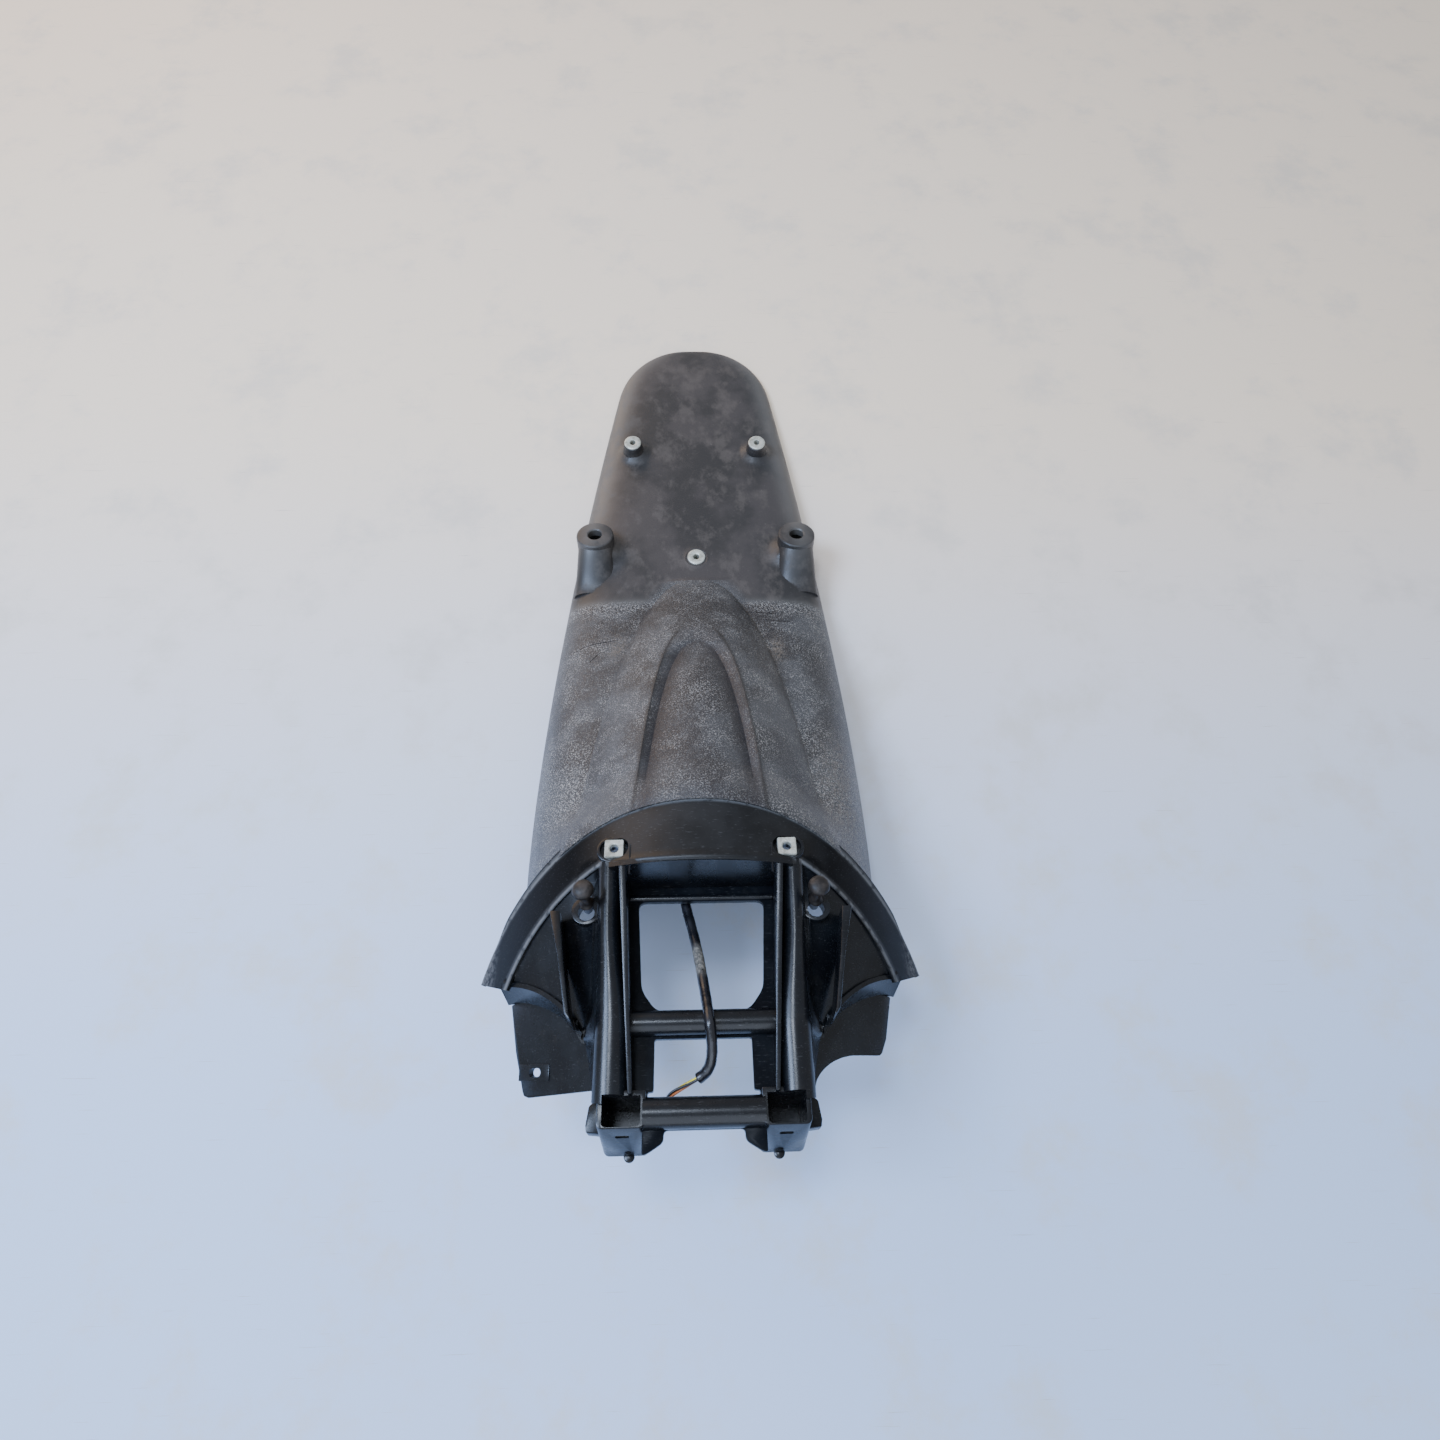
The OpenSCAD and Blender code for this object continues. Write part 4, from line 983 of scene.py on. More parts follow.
        slot = box_form((x0 - 3.4, v - 30, top - 14), (x0 + 3.4, v - 14, top - 10.2), LINES.tilted)
        return [
            (Cut.JOIN, block(2.4, top - tall, top).rounded(0.5, 50)),
            (Cut.REMOVE, block(0, top - tall + 2.4, top + 12)),
            (Cut.REMOVE, slot.rounded(1.2, 50)),
        ]

    def corner(self) -> Form:
        """Return the right corner, which closes the moulding where rail, side panel and fin meet."""
        return prism([(57.6, 2.4), (62.6, 3), (65.6, 8), (67.6, 12.6), (60, 19), (57.6, 19)], 121, 129.2)

    def tab(self) -> Form:
        """Return the small tab beside the right socket."""
        v = [LINES.local(y, 118)[0] for y in (-20, -28, -37, -40.5, -41.5)]
        plan = [(50, v[0]), (58.6, v[1]), (59.8, v[2]), (59.2, v[3]), (50, v[4])]
        return prism(plan, -29, -20, LINES.tilted).rounded(0.6)

    def pads(self) -> list[tuple[Cut, Form]]:
        """Return the pads round the nuts, pegs and pins of the right side, with their pockets and holes."""
        nut = LINES.on_floor(LINES.nut_x, *LINES.nut_seat)
        peg = LINES.on_floor(LINES.peg_x, *LINES.peg_seat)
        v, top = LINES.socket_seat
        lug = LINES.on_floor(LINES.pin_x, v - 20.2, top - 42.9)
        turn = np.radians(np.arange(0, 360, 9))
        hole = [(4.6 * math.cos(a), -2.8 + 4.6 * math.sin(a)) for a in turn]
        pad = [(8.1 * math.cos(a), -1.4 + 8.1 * math.sin(a)) for a in turn]
        return [
            (Cut.JOIN, prism(round_plan(19.4, 15.2), -4, 2.4, nut).rounded(0.6)),
            (Cut.REMOVE, prism(round_plan(16, 11.8), 0, 12, nut)),
            (Cut.REMOVE, lathe([(2.9, 1), (2.9, -9)], 32, nut)),
            (Cut.JOIN, prism(pad, -4, 0, peg).rounded(0.5)),
            (Cut.REMOVE, prism(hole, -9, 11, peg)),
            (Cut.REMOVE, box_form((-2.6, -2.8, -9), (2.6, 4.6, 11), peg)),
            (Cut.JOIN, lathe([(1.6, 7), (2.4, 6.4), (2.4, 0)], 32, lug)),
        ]

    def fin(self) -> Form:
        """Return the right fin between its wing and the side panel, ruled between two lines."""
        top = np.array([
            [62.6, 5.6], [68.7, 13.4], [73.2, 18.6], [78.6, 22.8], [87.8, 28.2], [97.4, 31.6], [106.4, 33],
            [112.4, 32.4]])  # fmt: skip
        foot = np.array([
            [62, 2.5], [68.3, 8.4], [72.2, 12.6], [76.8, 16.4], [87, 21.2], [98.4, 24.2], [106.6, 24.4],
            [109.6, 24.2]])  # fmt: skip
        wing = 120 - (foot[:, 0] - 64) * math.tan(math.radians(31))
        crest = 132.5 - 0.63 * (top[:, 0] - 62)
        outer = np.stack([np.c_[foot, wing - 1], np.c_[top, crest + 1]])
        inner = np.stack([np.c_[foot + [0, 3.4], wing - 1.6], np.c_[top + [-0.4, 2.4], crest + 0.6]])
        fine = [np.swapaxes(smooth_line(np.swapaxes(g, 0, 1), 4), 0, 1) for g in (outer, inner)]
        return closed_sheet(*fine)

    def wing(self, plan: list[tuple[float, float]]) -> Form:
        """Return a flat wing, leaning away from its rail.

        Args:
            plan: its corners seen from above.

        Returns:
            The wing's plate on the right side.
        """
        c = math.cos(math.radians(31))
        return prism([((x - 64) / c, y) for x, y in plan], -LINES.wall, 0, wing_stand()).rounded(0.6)

    def wings(self) -> list[tuple[Cut, Form]]:
        """Return both wings, and the thin raised pad with its slot on the left one."""
        inner = [(60, 4), (64.3, 6), (68.9, 11), (76.4, 18), (87.7, 23.2), (99.1, 26)]
        left = [
            (107.5, 24), (102.8, -0.8), (97.2, -20.4), (96.2, -22.4), (93.6, -23.3), (58.2, -19.8),
            (55, -19.8)]  # fmt: skip
        bay = np.array([
            (99, -5.2), (97.6, -6.4), (95.6, -6.6), (81.6, -6.2), (75.6, -6.8), (70.6, -8.2), (66.6, -10),
            (63.2, -12.3), (60.4, -15), (58.5, -17.9), (57.3, -22.1)])  # fmt: skip
        right = [(107.5, 24), (102.3, 1.8), *[tuple(p) for p in smooth_line(bay, 3)], (54, -22.1)]
        pad = box_form((20.4, -15, -1), (41.4, -6.6, 0.7), wing_stand()).rounded(0.3)
        slot = [(30.2 + x, -10.8 + y) for x, y in round_plan(8, 4.4)]
        return [
            (Cut.JOIN, self.wing(right + inner)),
            (Cut.JOIN, self.wing(left + inner).mirrored()),
            (Cut.JOIN, pad.mirrored()),
            (Cut.REMOVE, prism(slot, -5, 4, wing_stand()).mirrored()),
        ]

    def band_ridge(self) -> Form:
        """Return the short raised ridge across the band beside the right nut."""
        y = np.linspace(103.5, 86.5, 12)
        z = LINES.band(38.5 + 0 * y, y)
        ridge = np.stack([np.stack([38.5 + x + 0 * y, y, z + up], -1)
                          for x, up in ((-0.7, -1), (-0.35, 0.35), (0.35, 0.35), (0.7, -1))], 1)  # fmt: skip
        low = ridge.copy()
        low[..., 2] = z[:, None] - 1.6
        return closed_sheet(ridge[::-1], low[::-1])

    def build(self) -> bpy.types.Object:
        """Build the band and the carrier as one solid."""
        joined = [self.side_panel(), self.rail(), self.inner_rib(), self.outer_rib()]
        joined += [self.fin(), self.tab(), self.corner()]
        one_side = [(Cut.JOIN, form) for form in joined]
        one_side += [*self.socket_forms(), *self.pads(), (Cut.JOIN, self.band_ridge())]
        steps = self.floor()
        rear_bar = self.bar(self.bar_rear, self.bar_halves[0], 38.5)
        front_bar = self.bar(self.bar_front, self.bar_halves[1], 29.6)
        steps += [(Cut.JOIN, form) for form in (rear_bar, front_bar, self.step_wall(), self.lip_bead())]
        cuts = []
        for cut, form in one_side:
            (steps if cut is Cut.JOIN else cuts).extend([(cut, form), (cut, form.mirrored())])
        for cut, form in self.wings():
            (steps if cut is Cut.JOIN else cuts).append((cut, form))
        piece = moulded("front_carrier", self.band(), steps + cuts)
        self.mark_zones(piece)
        return dress(piece, self.material, "fender_moulding", 34)

    def mark_zones(self, piece: bpy.types.Object) -> None:
        """Store which part of the piece is the band, where a highlight is painted along its rims, where its
        tips are scuffed, and what is matt.

        Args:
            piece: the built carrier.
        """
        p = places(piece.data)
        x, y, z = p.T
        radius = np.hypot(x, y - LINES.arc_centre)
        near_band = np.abs(z - LINES.band(x, y)) < 1.2
        on_band = near_band & (((radius > LINES.inner_radius - 1.5) & (y > 20)) | (y > LINES.step_y - 0.5))
        mark(piece, "band", on_band.astype(float))
        # Painted highlight: a pale line along the band's inner lip and along its outer arc.
        lip = np.exp(-(((radius - LINES.inner_radius - 1.4) / 1.1) ** 2)) * on_band
        lip *= smooth((np.abs(x) - 46) / 4)
        rim_highlight = np.exp(-(((radius - LINES.arc_radius) / 0.9) ** 2)) * on_band
        mark(piece, "rim_highlight", np.maximum(lip, rim_highlight))
        mark(piece, "tip", smooth((np.abs(x) - 116) / 9) * on_band)
        on_floor = (np.abs(z - LINES.floor(y)) < 1.2) & (np.abs(x) < 46)
        corner = smooth((12 - np.hypot(np.abs(x) - 60, y - 88)) / 4) * (z < 137)
        arms = smooth((np.abs(x) - 45) / 30) * on_band
        mark(piece, "matt", np.maximum.reduce([arms, corner, smooth((-36 - y) / 4), on_floor]))


# Fittings


@dataclass
class PlateInserts:
    """Three flanged threaded inserts that a plate bracket is screwed to."""

    material: bpy.types.Material = field(repr=False)

    def build(self) -> bpy.types.Object:
        """Build the three inserts as one piece: a rounded flange, a sunk mouth, a bore and a barrel."""
        profile = [
            (2.4, -9), (2.4, 0.8), (2.7, 1.1), (3.0, 1.2), (6.2, 1.2), (6.7, 1.05), (7.0, 0.6), (7.0, 0.15),
            (6.8, 0), (4.4, 0), (4.4, -8.6), (4.1, -9),
        ]  # fmt: skip
        forms = [lathe(profile, 64, Stand((*spot, LINES.insert_seat)), True) for spot in LINES.insert_spots]
        piece = add_piece("plate_insert_set", merged(forms))
        return dress(piece, self.material, "plate_inserts", 40)


@dataclass
class SquareNuts:
    """The two square nuts in the band's oval pockets."""

    material: bpy.types.Material = field(repr=False)
    width: float = 10.6
    height: float = 4.0
    bore: float = 2.5
    steps: int = 48

    def nut(self, side: int) -> Form:
        """Return one nut: a block with chamfered corners, round-topped, with a countersunk bore.

        Args:
            side: 1 for the right side and -1 for the left.

        Returns:
            The nut's form.
        """
        angle = (np.arange(self.steps) + 0.5) * 2 * math.pi / self.steps
        c, s = np.cos(angle), np.sin(angle)
        square = np.minimum(self.width / 2 / np.maximum(np.abs(c), np.abs(s)), self.width / 2 * 1.36)
        top, worn = self.height, square - 0.45
        profile = (
            (self.bore, 0.3), (self.bore, top - 0.6), (self.bore + 0.6, top), (worn, top),
            (square, top - 0.7), (square, 0.4), (worn, 0), (self.bore + 0.4, 0),
        )  # fmt: skip
        rings = np.stack([np.stack([r * c, r * s, z + 0 * c], -1) for r, z in profile])
        return ringed(rings, LINES.on_floor(side * LINES.nut_x, *LINES.nut_seat), True)

    def build(self) -> bpy.types.Object:
        """Build both nuts as one piece."""
        piece = add_piece("square_nut_pair", merged([self.nut(-1), self.nut(1)]))
        return dress(piece, self.material, "square_nuts", 28)


@dataclass
class RubberPegs:
    """The two rubber pegs with mushroom heads that stand in the keyholes."""

    material: bpy.types.Material = field(repr=False)
    tall: float = 22.0

    def build(self) -> bpy.types.Object:
        """Build both pegs as one piece, each turned from one smooth profile."""
        h = self.tall
        profile = [
            (0.2, h), (2.4, h - 0.1), (4.2, h - 0.7), (5.4, h - 2), (5.8, h - 3.6), (5.2, h - 4.7),
            (3.4, h - 6.2), (2.6, h - 7.6), (2.5, 9), (2.5, 4), (2.7, 2.8), (3.6, 2.0), (3.9, 1.2),
            (3.9, 0.2), (3.7, 0), (2.5, -0.05), (2.5, -7.4), (2.1, -8.4),
        ]  # fmt: skip
        v, w = LINES.peg_seat
        forms = [lathe(profile, 40, LINES.on_floor(side * LINES.peg_x, v + 2, w)) for side in (-1, 1)]
        piece = add_piece("rubber_peg_pair", merged(forms))
        return dress(piece, self.material, "rubber_pegs", 50)


@dataclass
class FrontPins:
    """The two pointed locating pins under the sockets."""

    material: bpy.types.Material = field(repr=False)

    def build(self) -> bpy.types.Object:
        """Build both pins as one piece: a collar, a neck and a point."""
        profile = [
            (2.4, 0), (2.8, -0.3), (2.8, -1.9), (2.5, -2.2), (2.3, -2.6), (1.5, -5.4), (1.0, -5.8),
            (1.0, -6.4), (0.9, -8), (0.5, -10.6), (0.1, -10.8),
        ]  # fmt: skip
        v, top = LINES.socket_seat
        stands = [LINES.on_floor(side * LINES.pin_x, v - 22.8, top - 43) for side in (-1, 1)]
        piece = add_piece("front_pin_pair", merged([lathe(profile, 32, stand) for stand in stands]))
        return dress(piece, self.material, "front_pins", 40)


# The loom


def tube(line: np.ndarray, radius: np.ndarray, sides: int) -> Form:
    """Sweep a round section along a line, its rings carried on from one to the next without twist.

    Args:
        line: the points of the line in millimetres.
        radius: the radius at each point.
        sides: how many points each ring has.

    Returns:
        The closed tube.
    """
    way = np.gradient(line, axis=0)
    way /= np.linalg.norm(way, axis=1, keepdims=True)
    side = np.cross(way, [1.0, 0.0, 0.0])
    side /= np.linalg.norm(side, axis=1, keepdims=True)
    up = np.cross(way, side)
    angle = np.arange(sides) * 2 * math.pi / sides
    c, s = np.cos(angle)[None, :, None], np.sin(angle)[None, :, None]
    return ringed(line[:, None] + radius[:, None, None] * (c * side[:, None] + s * up[:, None]))


class WireColour(Enum):
    """The colours of the leads that come out of the sleeve, with their screen colours."""

    BLACK = "15161a"
    YELLOW = "d8c81c"
    ORANGE = "b0602c"


@dataclass
class Loom:
    """The black sleeve over the rear crossbar, its tape, and the leads down to the front plug."""

    sleeve_material: bpy.types.Material = field(repr=False)
    lead_materials: dict[WireColour, bpy.types.Material] = field(repr=False)
    plug_material: bpy.types.Material = field(repr=False)
    front_plug_v: float
    sleeve_d: float = 5.6
    lead_d: float = 1.35
    route: tuple[tuple[float, float, float], ...] = (
        (-13, 140.9, 125.6), (-13, 136, 127.8), (-13, 130.5, 129.1), (-12.8, 125, 128.9),
            (-12.6, 119.5, 126.8),
        (-12.4, 114.5, 123.2), (-12, 109, 118.4), (-11.7, 103.5, 113.8), (-11.4, 98, 110.6), (-11, 91.5, 109),
        (-10.2, 84.5, 108.8), (-9.3, 77.5, 109.7), (-8, 71.5, 111.8), (-6.5, 65.5, 114.4), (-4.6, 58, 117.8),
        (-2.6, 49, 122.2), (-0.6, 38, 128), (1, 28, 133.8), (2, 21, 139.2), (2.7, 16, 143.2),
            (3.3, 11, 145.5),
        (4, 5, 144.9), (4.3, -0.5, 143.6), (4, -5, 142), (2.9, -9, 140.2), (0.6, -12.3, 138.6),
        (-2.6, -14.6, 137.2),
    )  # fmt: skip
    leads_route: tuple[tuple[float, float, float], ...] = (
        (-2.6, -14.6, 137.2), (-6.8, -16.7, 136.2), (-11, -18.7, 135.4), (-14.6, -20.6, 134.8),
        (-17.2, -22.6, 134.5), (-18.6, -25, 134.6), (-19, -27.3, 134.8),
    )  # fmt: skip

    def sleeve(self) -> tuple[bpy.types.Object, np.ndarray]:
        """Build the sleeve with small waves in its skin and a flared mouth, and return it with its line."""
        sides = 28
        line = smooth_line(np.array(self.route), 6)
        t = np.arange(len(line))
        radius = self.sleeve_d / 2 * (1 + 0.018 * np.sin(t * 0.9) + 0.012 * np.sin(t * 2.3 + 1))
        radius[-4:] *= [1.0, 1.01, 1.02, 0.98]
        piece = add_piece("loom_cover", tube(line, radius, sides))
        y = np.repeat(line[:, 1], sides)
        mark(piece, "tape", smooth((y - 33) / 4) * smooth((52 - y) / 4))
        return dress(piece, self.sleeve_material, "loom_sleeve", 60), line

    def lead(self, colour: WireColour, phase: float) -> bpy.types.Object:
        """Build one lead of the bundle, winding half a turn round the bundle's line.

        Args:
            colour: the lead's colour.
            phase: where its winding starts, in turns from the top.

        Returns:
            The lead's piece.
        """
        base = np.array(self.leads_route)
        start = base[0] - (base[1] - base[0]) * 0.5
        line = smooth_line(np.concatenate([start[None], base[1:]]), 5)
        t = np.linspace(0, 1, len(line))
        turn = 2 * math.pi * (phase + 0.5 * t)
        reach = 0.8 * (0.75 + 0.25 * np.sin(math.pi * t))
        line = line + reach[:, None] * np.stack([-0.35 * np.sin(turn), 0.9 * np.sin(turn), np.cos(turn)], -1)
        piece = add_piece("lead_" + colour.name.lower(), tube(line, np.full(len(line), self.lead_d / 2), 12))
        return dress(piece, self.lead_materials[colour], "loom_leads", 60)

    def plugs(self) -> bpy.types.Object:
        """Build the two plug housings, with rounded edges, a nose, ribs and a latch."""
        rear = Stand((-13, 150, 121.4), -25)
        forms = [
            box_form((-8, -10, -5), (8, 10, 5), rear).rounded(0.8),
            box_form((-6.4, 9.6, -3.6), (6.4, 15, 3.6), rear).rounded(0.6),
        ]
        forms += [box_form((x - 0.5, -8, -5.5), (x + 0.5, 8, -4.8), rear).rounded(0.2) for x in (-5, 0, 5)]
        front = LINES.on_floor(-19, self.front_plug_v, -8.2)
        forms += [
            box_form((-8, -4.6, -4.4), (8, 4.6, 5.2), front).rounded(0.8),
            box_form((-2.6, 4.4, -2.2), (2.6, 5.0, 3.4), front).rounded(0.2),
        ]
        piece = add_piece("plug_housings", merged(forms))
        return dress(piece, self.plug_material, "loom_plugs", 40)

    def build(self) -> list[bpy.types.Object]:
        """Build the loom: its sleeve, its three leads and its plugs."""
        cover, line = self.sleeve()
        leads = [
            self.lead(WireColour.BLACK, 0.9), self.lead(WireColour.YELLOW, 0.2),
            self.lead(WireColour.ORANGE, 0.52)]  # fmt: skip
        plugs = self.plugs()
        return [cover, *leads, plugs]


# Finishes

Socket = bpy.types.NodeSocket
Value = float | tuple[float, ...] | Socket


def add_node(
    tree: bpy.types.NodeTree, kind: str, inputs: dict[str | int, Value] | None = None, **settings: str
) -> bpy.types.Node:
    """Add a node to a material, with its settings and what goes into it.

    Args:
        tree: the material's node tree.
        kind: Blender's name for the node.
        inputs: a number, a colour or another node's output for each of its inputs.
        **settings: the node's own settings.

    Returns:
        The new node.
    """
    node = tree.nodes.new(kind)
    for key, value in settings.items():
        setattr(node, key, value)
    for key, value in (inputs or {}).items():
        if isinstance(value, bpy.types.NodeSocket):
            tree.links.new(value, node.inputs[key])
        else:
            node.inputs[key].default_value = value
    return node


class Coat:
    """A material while it is being mixed: its tree, its shader and the patterns of its finish."""

    def __init__(self, name: str, **sockets: Value) -> None:
        """Start a material.

        Args:
            name: the real material that it shows.
            **sockets: the shader's constant numbers and colours, with underscores for spaces.
        """
        self.material = bpy.data.materials.new(name)
        self.material.use_nodes = True
        self.tree = self.material.node_tree
        self.tree.nodes.clear()
        values = {key.replace("_", " "): value for key, value in sockets.items()}
        self.shader = add_node(self.tree, "ShaderNodeBsdfPrincipled", values)
        add_node(self.tree, "ShaderNodeOutputMaterial", {"Surface": self.shader.outputs[0]})
        self.where = add_node(self.tree, "ShaderNodeTexCoord").outputs["Object"]

    def stretched(self, x: float, y: float, z: float) -> Socket:
        """Return object coordinates multiplied by a factor on each axis."""
        return add_node(self.tree, "ShaderNodeMapping", {"Vector": self.where, "Scale": (x, y, z)}).outputs[0]

    def noise(
        self, size_mm: float, detail: float = 4.0, rough: float = 0.55, at: Socket | None = None
    ) -> Socket:
        """Return a cloudy pattern.

        Args:
            size_mm: the size of its clouds in millimetres.
            detail: how many finer layers it has.
            rough: how strong the finer layers are.
            at: coordinates other than the plain object's.

        Returns:
            A number around 0.5.
        """
        inputs = {"Vector": at or self.where, "Scale": 1000 / size_mm, "Detail": detail, "Roughness": rough}
        return add_node(self.tree, "ShaderNodeTexNoise", inputs).outputs[0]

    def cells(self, size_mm: float) -> Socket:
        """Return the distance to the nearest of scattered points, in cells of a real size."""
        inputs = {"Vector": self.where, "Scale": 1000 / size_mm}
        return add_node(self.tree, "ShaderNodeTexVoronoi", inputs).outputs["Distance"]

    def painted(self, name: str) -> Socket:
        """Return the number that a piece stores at each of its points."""
        return add_node(self.tree, "ShaderNodeAttribute", attribute_name=name).outputs["Fac"]

    def window(
        self, value: Socket, low: float, high: float, to_low: float = 0.0, to_high: float = 1.0
    ) -> Socket:
        """Return a value's smooth step between two limits, mapped to two others."""
        inputs = {"Value": value, 1: low, 2: high, 3: to_low, 4: to_high}
        return add_node(self.tree, "ShaderNodeMapRange", inputs, interpolation_type="SMOOTHSTEP").outputs[0]

    def times(self, one: Value, two: Value) -> Socket:
        """Return the product of two numbers."""
        return self.maths("MULTIPLY", one, two)

    def maths(self, operation: str, one: Value, two: Value = 0.0) -> Socket:
        """Return the result of a sum on two numbers."""
        return add_node(self.tree, "ShaderNodeMath", {0: one, 1: two}, operation=operation).outputs[0]

    def mixed(self, share: Value, one: Value, two: Value) -> Socket:
        """Return a colour between two colours.

        Args:
            share: how much of the second.
            one: the first colour.
            two: the second colour.

        Returns:
            The mixed colour.
        """
        return add_node(self.tree, "ShaderNodeMix", {0: share, 6: one, 7: two}, data_type="RGBA").outputs[2]

    def blended(self, share: Value, one: Value, two: Value) -> Socket:
        """Return a number between two numbers."""
        return add_node(self.tree, "ShaderNodeMix", {0: share, 2: one, 3: two}, data_type="FLOAT").outputs[0]

    def bump(self, height: Socket, depth_mm: float, strength: Value = 1.0) -> Socket:
        """Return a normal that shows a height as relief of a real depth."""
        inputs = {"Height": height, "Distance": depth_mm / 1000, "Strength": strength}
        return add_node(self.tree, "ShaderNodeBump", inputs).outputs[0]

    def finished(self, colour: Value, roughness: Value, normal: Socket | None = None) -> bpy.types.Material:
        """Put the mixed colour, roughness and relief on the shader.

        Args:
            colour: the surface's colour.
            roughness: its roughness.
            normal: its relief, if it has one.

        Returns:
            The finished material.
        """
        for key, value in (("Base Color", colour), ("Roughness", roughness), ("Normal", normal)):
            if isinstance(value, bpy.types.NodeSocket):
                self.tree.links.new(value, self.shader.inputs[key])
            elif value is not None:
                self.shader.inputs[key].default_value = value
        return self.material


@dataclass(frozen=True)
class WeatheredPolypropylene:
    """The skin's grey-black plastic: grained on the hump and decks, smooth and stained on the flap."""

    grain_mm: float = 0.75
    cloud_mm: float = 38.0
    grained_dark: str = "262628"
    grained_light: str = "404143"
    worn: str = "a09e9a"
    dust: str = "6b6257"
    smooth_dark: str = "2b2a2a"
    smooth_light: str = "3d3938"
    stain: str = "544e49"
    # Colour of the painted shade in the gutters.
    gutter_shade: str = "1d1b20"
    line: str = "0d0d10"

    def material(self) -> bpy.types.Material:
        """Mix the finish: grain relief outside the smooth zones, clouds, water stains, dark grooves, and
        painted shade and sheen.
        """
        # Polypropylene from a grained mould, weathered: dark grey with a fine grain that breaks
        # up every glint, paler where dust and sun have worked on it.
        c = Coat("textured polypropylene, weathered", Specular_IOR_Level=0.5, IOR=1.49)
        flap, sunk, gutter_shade, line = (c.painted(n) for n in ("flap", "sunk", "gutter_shade", "groove"))
        patch, dirt, edge = (c.painted(n) for n in ("patch", "dirt", "edge"))
        clouds = c.noise(self.cloud_mm, 5, 0.6)
        specks = c.noise(0.95, 3, 0.7)
        grained = c.mixed(c.window(clouds, 0.4, 0.62), shade(self.grained_dark), shade(self.grained_light))
        rubbed = c.window(c.noise(21, 6, 0.7), 0.4, 0.66, 0.18, 0.75)
        # The patch mask is added to the rubbed specks, so part of this paleness is painted sheen.
        rubbed = c.times(c.maths("ADD", rubbed, patch), c.window(specks, 0.5, 0.62))
        grained = c.mixed(c.maths("MINIMUM", rubbed, 0.85), grained, shade(self.worn))
        dusty = c.times(dirt, c.window(c.noise(2.4, 5, 0.7), 0.4, 0.62))
        grained = c.mixed(dusty, grained, shade(self.dust))
        stains = c.window(c.noise(17, 7, 0.68, c.stretched(1, 0.7, 1)), 0.47, 0.66)
        broad = c.window(c.noise(46, 4), 0.42, 0.62)
        smooth_zone = c.mixed(broad, shade(self.smooth_dark), shade(self.smooth_light))
        smooth_zone = c.mixed(c.times(stains, 0.5), smooth_zone, shade(self.stain))
        smooth_zone = c.mixed(c.window(c.noise(2.6, 6, 0.7), 0.6, 0.72, 0, 0.2), smooth_zone, shade("77726a"))
        # Painted sheen: the patch mask lightens the flap's shoulders and the strip along the fold.
        smooth_zone = c.mixed(c.times(patch, 0.8), smooth_zone, shade("77746f"))
        colour = c.mixed(flap, grained, smooth_zone)
        colour = c.mixed(c.times(sunk, 0.18), colour, shade("29272c"))
        # Painted shade in the gutters along the panel's floor.
        colour = c.mixed(c.times(gutter_shade, 0.72), colour, shade(self.gutter_shade))
        colour = c.mixed(c.times(line, 0.8), colour, shade(self.line))
        # Painted shade along the skirts' foot.
        colour = c.mixed(c.times(edge, 0.7), colour, shade("141414"))
        cells = c.window(c.cells(self.grain_mm), 0.0, 0.75)
        relief = c.maths("ADD", cells, c.times(c.noise(0.45, 3, 0.6), 0.7))
        strength = c.blended(flap, 0.9, 0.08)
        normal = c.bump(relief, 0.2, strength)
        rough = c.blended(flap, c.window(clouds, 0.3, 0.7, 0.4, 0.52), c.window(stains, 0, 1, 0.42, 0.6))
        return c.finished(colour, rough, normal)


@dataclass(frozen=True)
class GlossyPolypropylene:
    """The band's and the carrier's smooth moulded plastic, glossy inside, dulled and scuffed on the band."""

    inside: str = "0c0e12"
    inside_light: str = "14171b"
    band: str = "0c0d0f"
    scuff: str = "77787a"
    dust: str = "2e2a26"

    def material(self) -> bpy.types.Material:
        """Mix the finish: fine scratches, dust in patches, a painted highlight along the rims and grey
        scuffed tips.
        """
        # Polypropylene from a polished mould: near black, with cool reflections that are sharp
        # enough to show each scratch.
        c = Coat("smooth polypropylene, glossy", IOR=1.49)
        band, rim_highlight, tip = (c.painted(n) for n in ("band", "rim_highlight", "tip"))
        shine = c.blended(c.painted("matt"), 0.42, 0.05)
        c.tree.links.new(shine, c.shader.inputs["Specular IOR Level"])
        clouds = c.noise(24, 4)
        fine = c.noise(0.9, 3, 0.6, c.stretched(0.22, 1.5, 1))
        colour = c.mixed(c.window(clouds, 0.4, 0.65), shade(self.inside), shade(self.inside_light))
        dusty = c.times(c.window(c.noise(11, 7, 0.7), 0.53, 0.72), 0.18)
        colour = c.mixed(dusty, colour, shade(self.dust))
        band_colour = c.mixed(c.window(clouds, 0.4, 0.65), shade(self.band), shade("151618"))
        colour = c.mixed(band, colour, band_colour)
        scratched = c.window(fine, 0.6, 0.72)
        colour = c.mixed(c.times(scratched, 0.16), colour, shade(self.scuff))
        worn = c.times(tip, c.window(c.noise(3.4, 6, 0.7), 0.4, 0.62))
        colour = c.mixed(c.times(worn, 0.65), colour, shade(self.scuff))
        # Painted highlight along the band's rims.
        edge = c.times(rim_highlight, c.window(c.noise(5, 4), 0.3, 0.5, 0.3, 1))
        colour = c.mixed(c.times(edge, 0.5), colour, shade("8c8e90"))
        glossy = c.window(c.noise(9, 5), 0.35, 0.7, 0.25, 0.3)
        rough = c.blended(band, glossy, c.window(clouds, 0.35, 0.7, 0.36, 0.46))
        rough = c.blended(worn, rough, 0.62)
        relief = c.maths("ADD", c.noise(8, 2), c.times(fine, 0.06))
        return c.finished(colour, rough, c.bump(relief, 0.12, 0.35))


